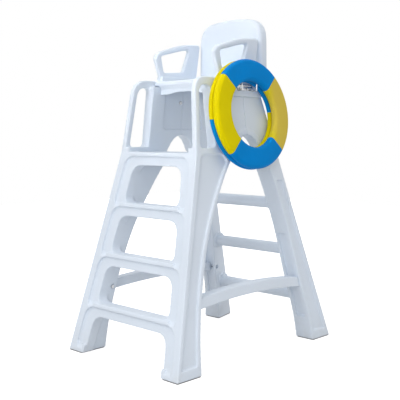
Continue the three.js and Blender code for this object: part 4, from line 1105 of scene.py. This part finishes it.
class CHAIR_OT_fasteners(bpy.types.Operator):
    """Make the bolts and screws: one hexagon head, copied to each place"""

    bl_idname = "chair.fasteners"
    bl_label = "Bolts and screws"

    def execute(self, context):
        sizes = context.scene.chair.fitting
        names = [part["node"] for part in frame["record"]["subparts"]]
        nodes = [n for n in names if "_bolt" in n or "_screw" in n]
        for node in nodes:
            low, high = box_of(node)
            facing = bolt_direction(node)
            axis = 1 if facing.y else 0
            height = SCREW_HEAD if "screw" in node else BOLT_HEAD
            size = high.z - low.z
            centre = (low + high) / 2
            centre[axis] = high[axis] if facing[axis] > 0 else low[axis]
            centre[axis] -= math.copysign(height, facing[axis])
            piece = bolt_head(f"{node}_head", size, height, sizes.chamfer)
            piece.rotation_mode = "QUATERNION"
            piece.rotation_quaternion = facing.to_track_quat("Z", "Y")
            piece.location = centre
            settle(piece)
            finish_piece(piece, "bolt_steel", "root", [node], smooth=30)
        return {"FINISHED"}


class CHAIR_OT_pads(bpy.types.Operator):
    """Make the rubber foot pads"""

    bl_idname = "chair.pads"
    bl_label = "Foot pads"

    def execute(self, context):
        sizes = context.scene.chair.fitting
        for node in [n for n in frame["nodes"] if n.startswith("foot_pad")]:
            piece = copy_of_node(node, f"{node}_rubber")
            edit(piece, "FACE")
            bpy.ops.mesh.select_all(action="SELECT")
            bpy.ops.mesh.dissolve_limited(angle_limit=math.radians(2))
            done()
            bevel(piece, sizes.pad_edge, 3)
            finish_piece(piece, "foot_rubber", "root", [node], smooth=40)
        return {"FINISHED"}


# Stage


def seen_directly(nodes):
    """1 for the camera's rays and those that mirror or shine through something, else 0."""
    path = nodes.add("ShaderNodeLightPath").outputs
    seen = nodes.maths("ADD", path["Is Camera Ray"], path["Is Glossy Ray"], clamp=True)
    return nodes.maths("ADD", seen, path["Is Transmission Ray"], clamp=True)


def make_floor(sizes):
    """A floor that keeps a soft shadow near the chair and goes over to plain white further off."""
    bpy.ops.mesh.primitive_plane_add(size=FLOOR_SIDE)
    floor = bpy.context.object
    floor.name = "floor"
    material = bpy.data.materials.new("pale_floor")
    material.use_nodes = True
    material.node_tree.nodes.clear()
    nodes = Nodes(material.node_tree)
    surface = nodes.add("ShaderNodeBsdfDiffuse", {"Color": FLOOR_GREY}).outputs[0]
    place = nodes.add("ShaderNodeTexCoord").outputs["Object"]
    away = nodes.add("ShaderNodeVectorMath", {0: place}, operation="LENGTH").outputs["Value"]
    white = nodes.span(away, SHADOW_REACH, WHITE_REACH, sizes.floor_glow, 1.0)
    glow = nodes.add("ShaderNodeEmission", {"Color": (1, 1, 1, 1)})
    nodes.put(nodes.maths("MULTIPLY", seen_directly(nodes), white), glow.inputs["Strength"])
    both = nodes.add("ShaderNodeAddShader", {0: surface, 1: glow.outputs[0]})
    nodes.add("ShaderNodeOutputMaterial", {"Surface": both.outputs[0]})
    floor.data.materials.append(material)


def make_lamp(name, place, target, size, power, spread):
    """A round lamp aimed at a point."""
    lamp = bpy.data.lights.new(name, "AREA")
    lamp.shape = "DISK"
    lamp.size = size
    lamp.spread = spread
    lamp.energy = power
    thing = bpy.data.objects.new(name, lamp)
    thing.location = place
    thing.rotation_euler = (Vector(target) - Vector(place)).to_track_quat("-Z", "Y").to_euler()
    bpy.context.collection.objects.link(thing)


def make_sky(horizon, zenith):
    """Even light from all round, stronger from above; looked at directly it is plain white."""
    world = bpy.data.worlds.new("studio")
    world.use_nodes = True
    world.node_tree.nodes.clear()
    nodes = Nodes(world.node_tree)
    direction = nodes.add("ShaderNodeTexCoord").outputs["Generated"]
    up = nodes.add("ShaderNodeSeparateXYZ", {0: direction}).outputs["Z"]
    light = nodes.span(up, 0.05, 0.95, horizon, zenith)
    seen = seen_directly(nodes)
    lit = nodes.maths("MULTIPLY", nodes.maths("SUBTRACT", 1.0, seen), light)
    level = nodes.maths("ADD", seen, lit)
    sky = nodes.add("ShaderNodeBackground", {"Color": (1.0, 1.0, 1.0, 1.0), "Strength": level})
    nodes.add("ShaderNodeOutputWorld", {"Surface": sky.outputs[0]})
    bpy.context.scene.world = world


def make_camera(sizes):
    """The camera of the photograph, solved from the chair's parallel edges."""
    camera = bpy.data.cameras.new("camera")
    camera.lens = sizes.lens
    camera.sensor_width = 36.0
    camera.clip_end = 60.0
    eye = bpy.data.objects.new("camera", camera)
    eye.location = sizes.camera
    eye.rotation_euler = (math.pi / 2 - sizes.dip, 0.0, sizes.turn)
    bpy.context.collection.objects.link(eye)
    bpy.context.scene.camera = eye


class CHAIR_OT_stage(bpy.types.Operator):
    """Make the floor, the lamps, the sky and the camera"""

    bl_idname = "chair.stage"
    bl_label = "Stage"

    def execute(self, context):
        sizes = context.scene.chair.stage
        context.scene.view_settings.view_transform = "Standard"
        make_camera(sizes)
        make_floor(sizes)
        for name, (place, aim, diameter) in LAMPS.items():
            spread = sizes.beam_spread if name == "beam" else math.pi
            make_lamp(name, place, aim, diameter, getattr(sizes, name), spread)
        make_sky(sizes.sky, sizes.zenith)
        return {"FINISHED"}


PIECES = (
    CHAIR_OT_ladder,
    CHAIR_OT_rear_legs,
    CHAIR_OT_seat,
    CHAIR_OT_armrests,
    CHAIR_OT_beams,
    CHAIR_OT_rungs,
    CHAIR_OT_lifebuoy,
    CHAIR_OT_hooks,
    CHAIR_OT_fasteners,
    CHAIR_OT_pads,
)
STEPS = (CHAIR_OT_stage, CHAIR_OT_finishes, *PIECES)


class CHAIR_PT_panel(bpy.types.Panel):
    """The chair's steps and sizes in the sidebar"""

    bl_idname = "CHAIR_PT_panel"
    bl_label = "Lifeguard Chair"
    bl_space_type = "VIEW_3D"
    bl_region_type = "UI"
    bl_category = "Chair"

    def draw(self, context):
        settings = context.scene.chair
        for step in STEPS:
            self.layout.operator(step.bl_idname)
        for name in ("moulding", "lifebuoy", "fitting", "colours", "stage"):
            group = getattr(settings, name)
            part = self.layout.box()
            part.label(text=name.capitalize())
            for label in group.bl_rna.properties.keys():
                if label not in ("rna_type", "name"):
                    part.prop(group, label)


CLASSES = (
    MouldingSizes,
    LifebuoySizes,
    FittingSizes,
    Colours,
    StageSizes,
    ChairSettings,
    *STEPS,
    CHAIR_PT_panel,
)


def register():
    for item in CLASSES:
        bpy.utils.register_class(item)
    bpy.types.Scene.chair = PointerProperty(type=ChairSettings)


def unregister():
    del bpy.types.Scene.chair
    for item in reversed(CLASSES):
        bpy.utils.unregister_class(item)


def main():
    register()
    for step in STEPS:
        group, name = step.bl_idname.split(".")
        getattr(getattr(bpy.ops, group), name)()


if __name__ == "__main__":
    main()
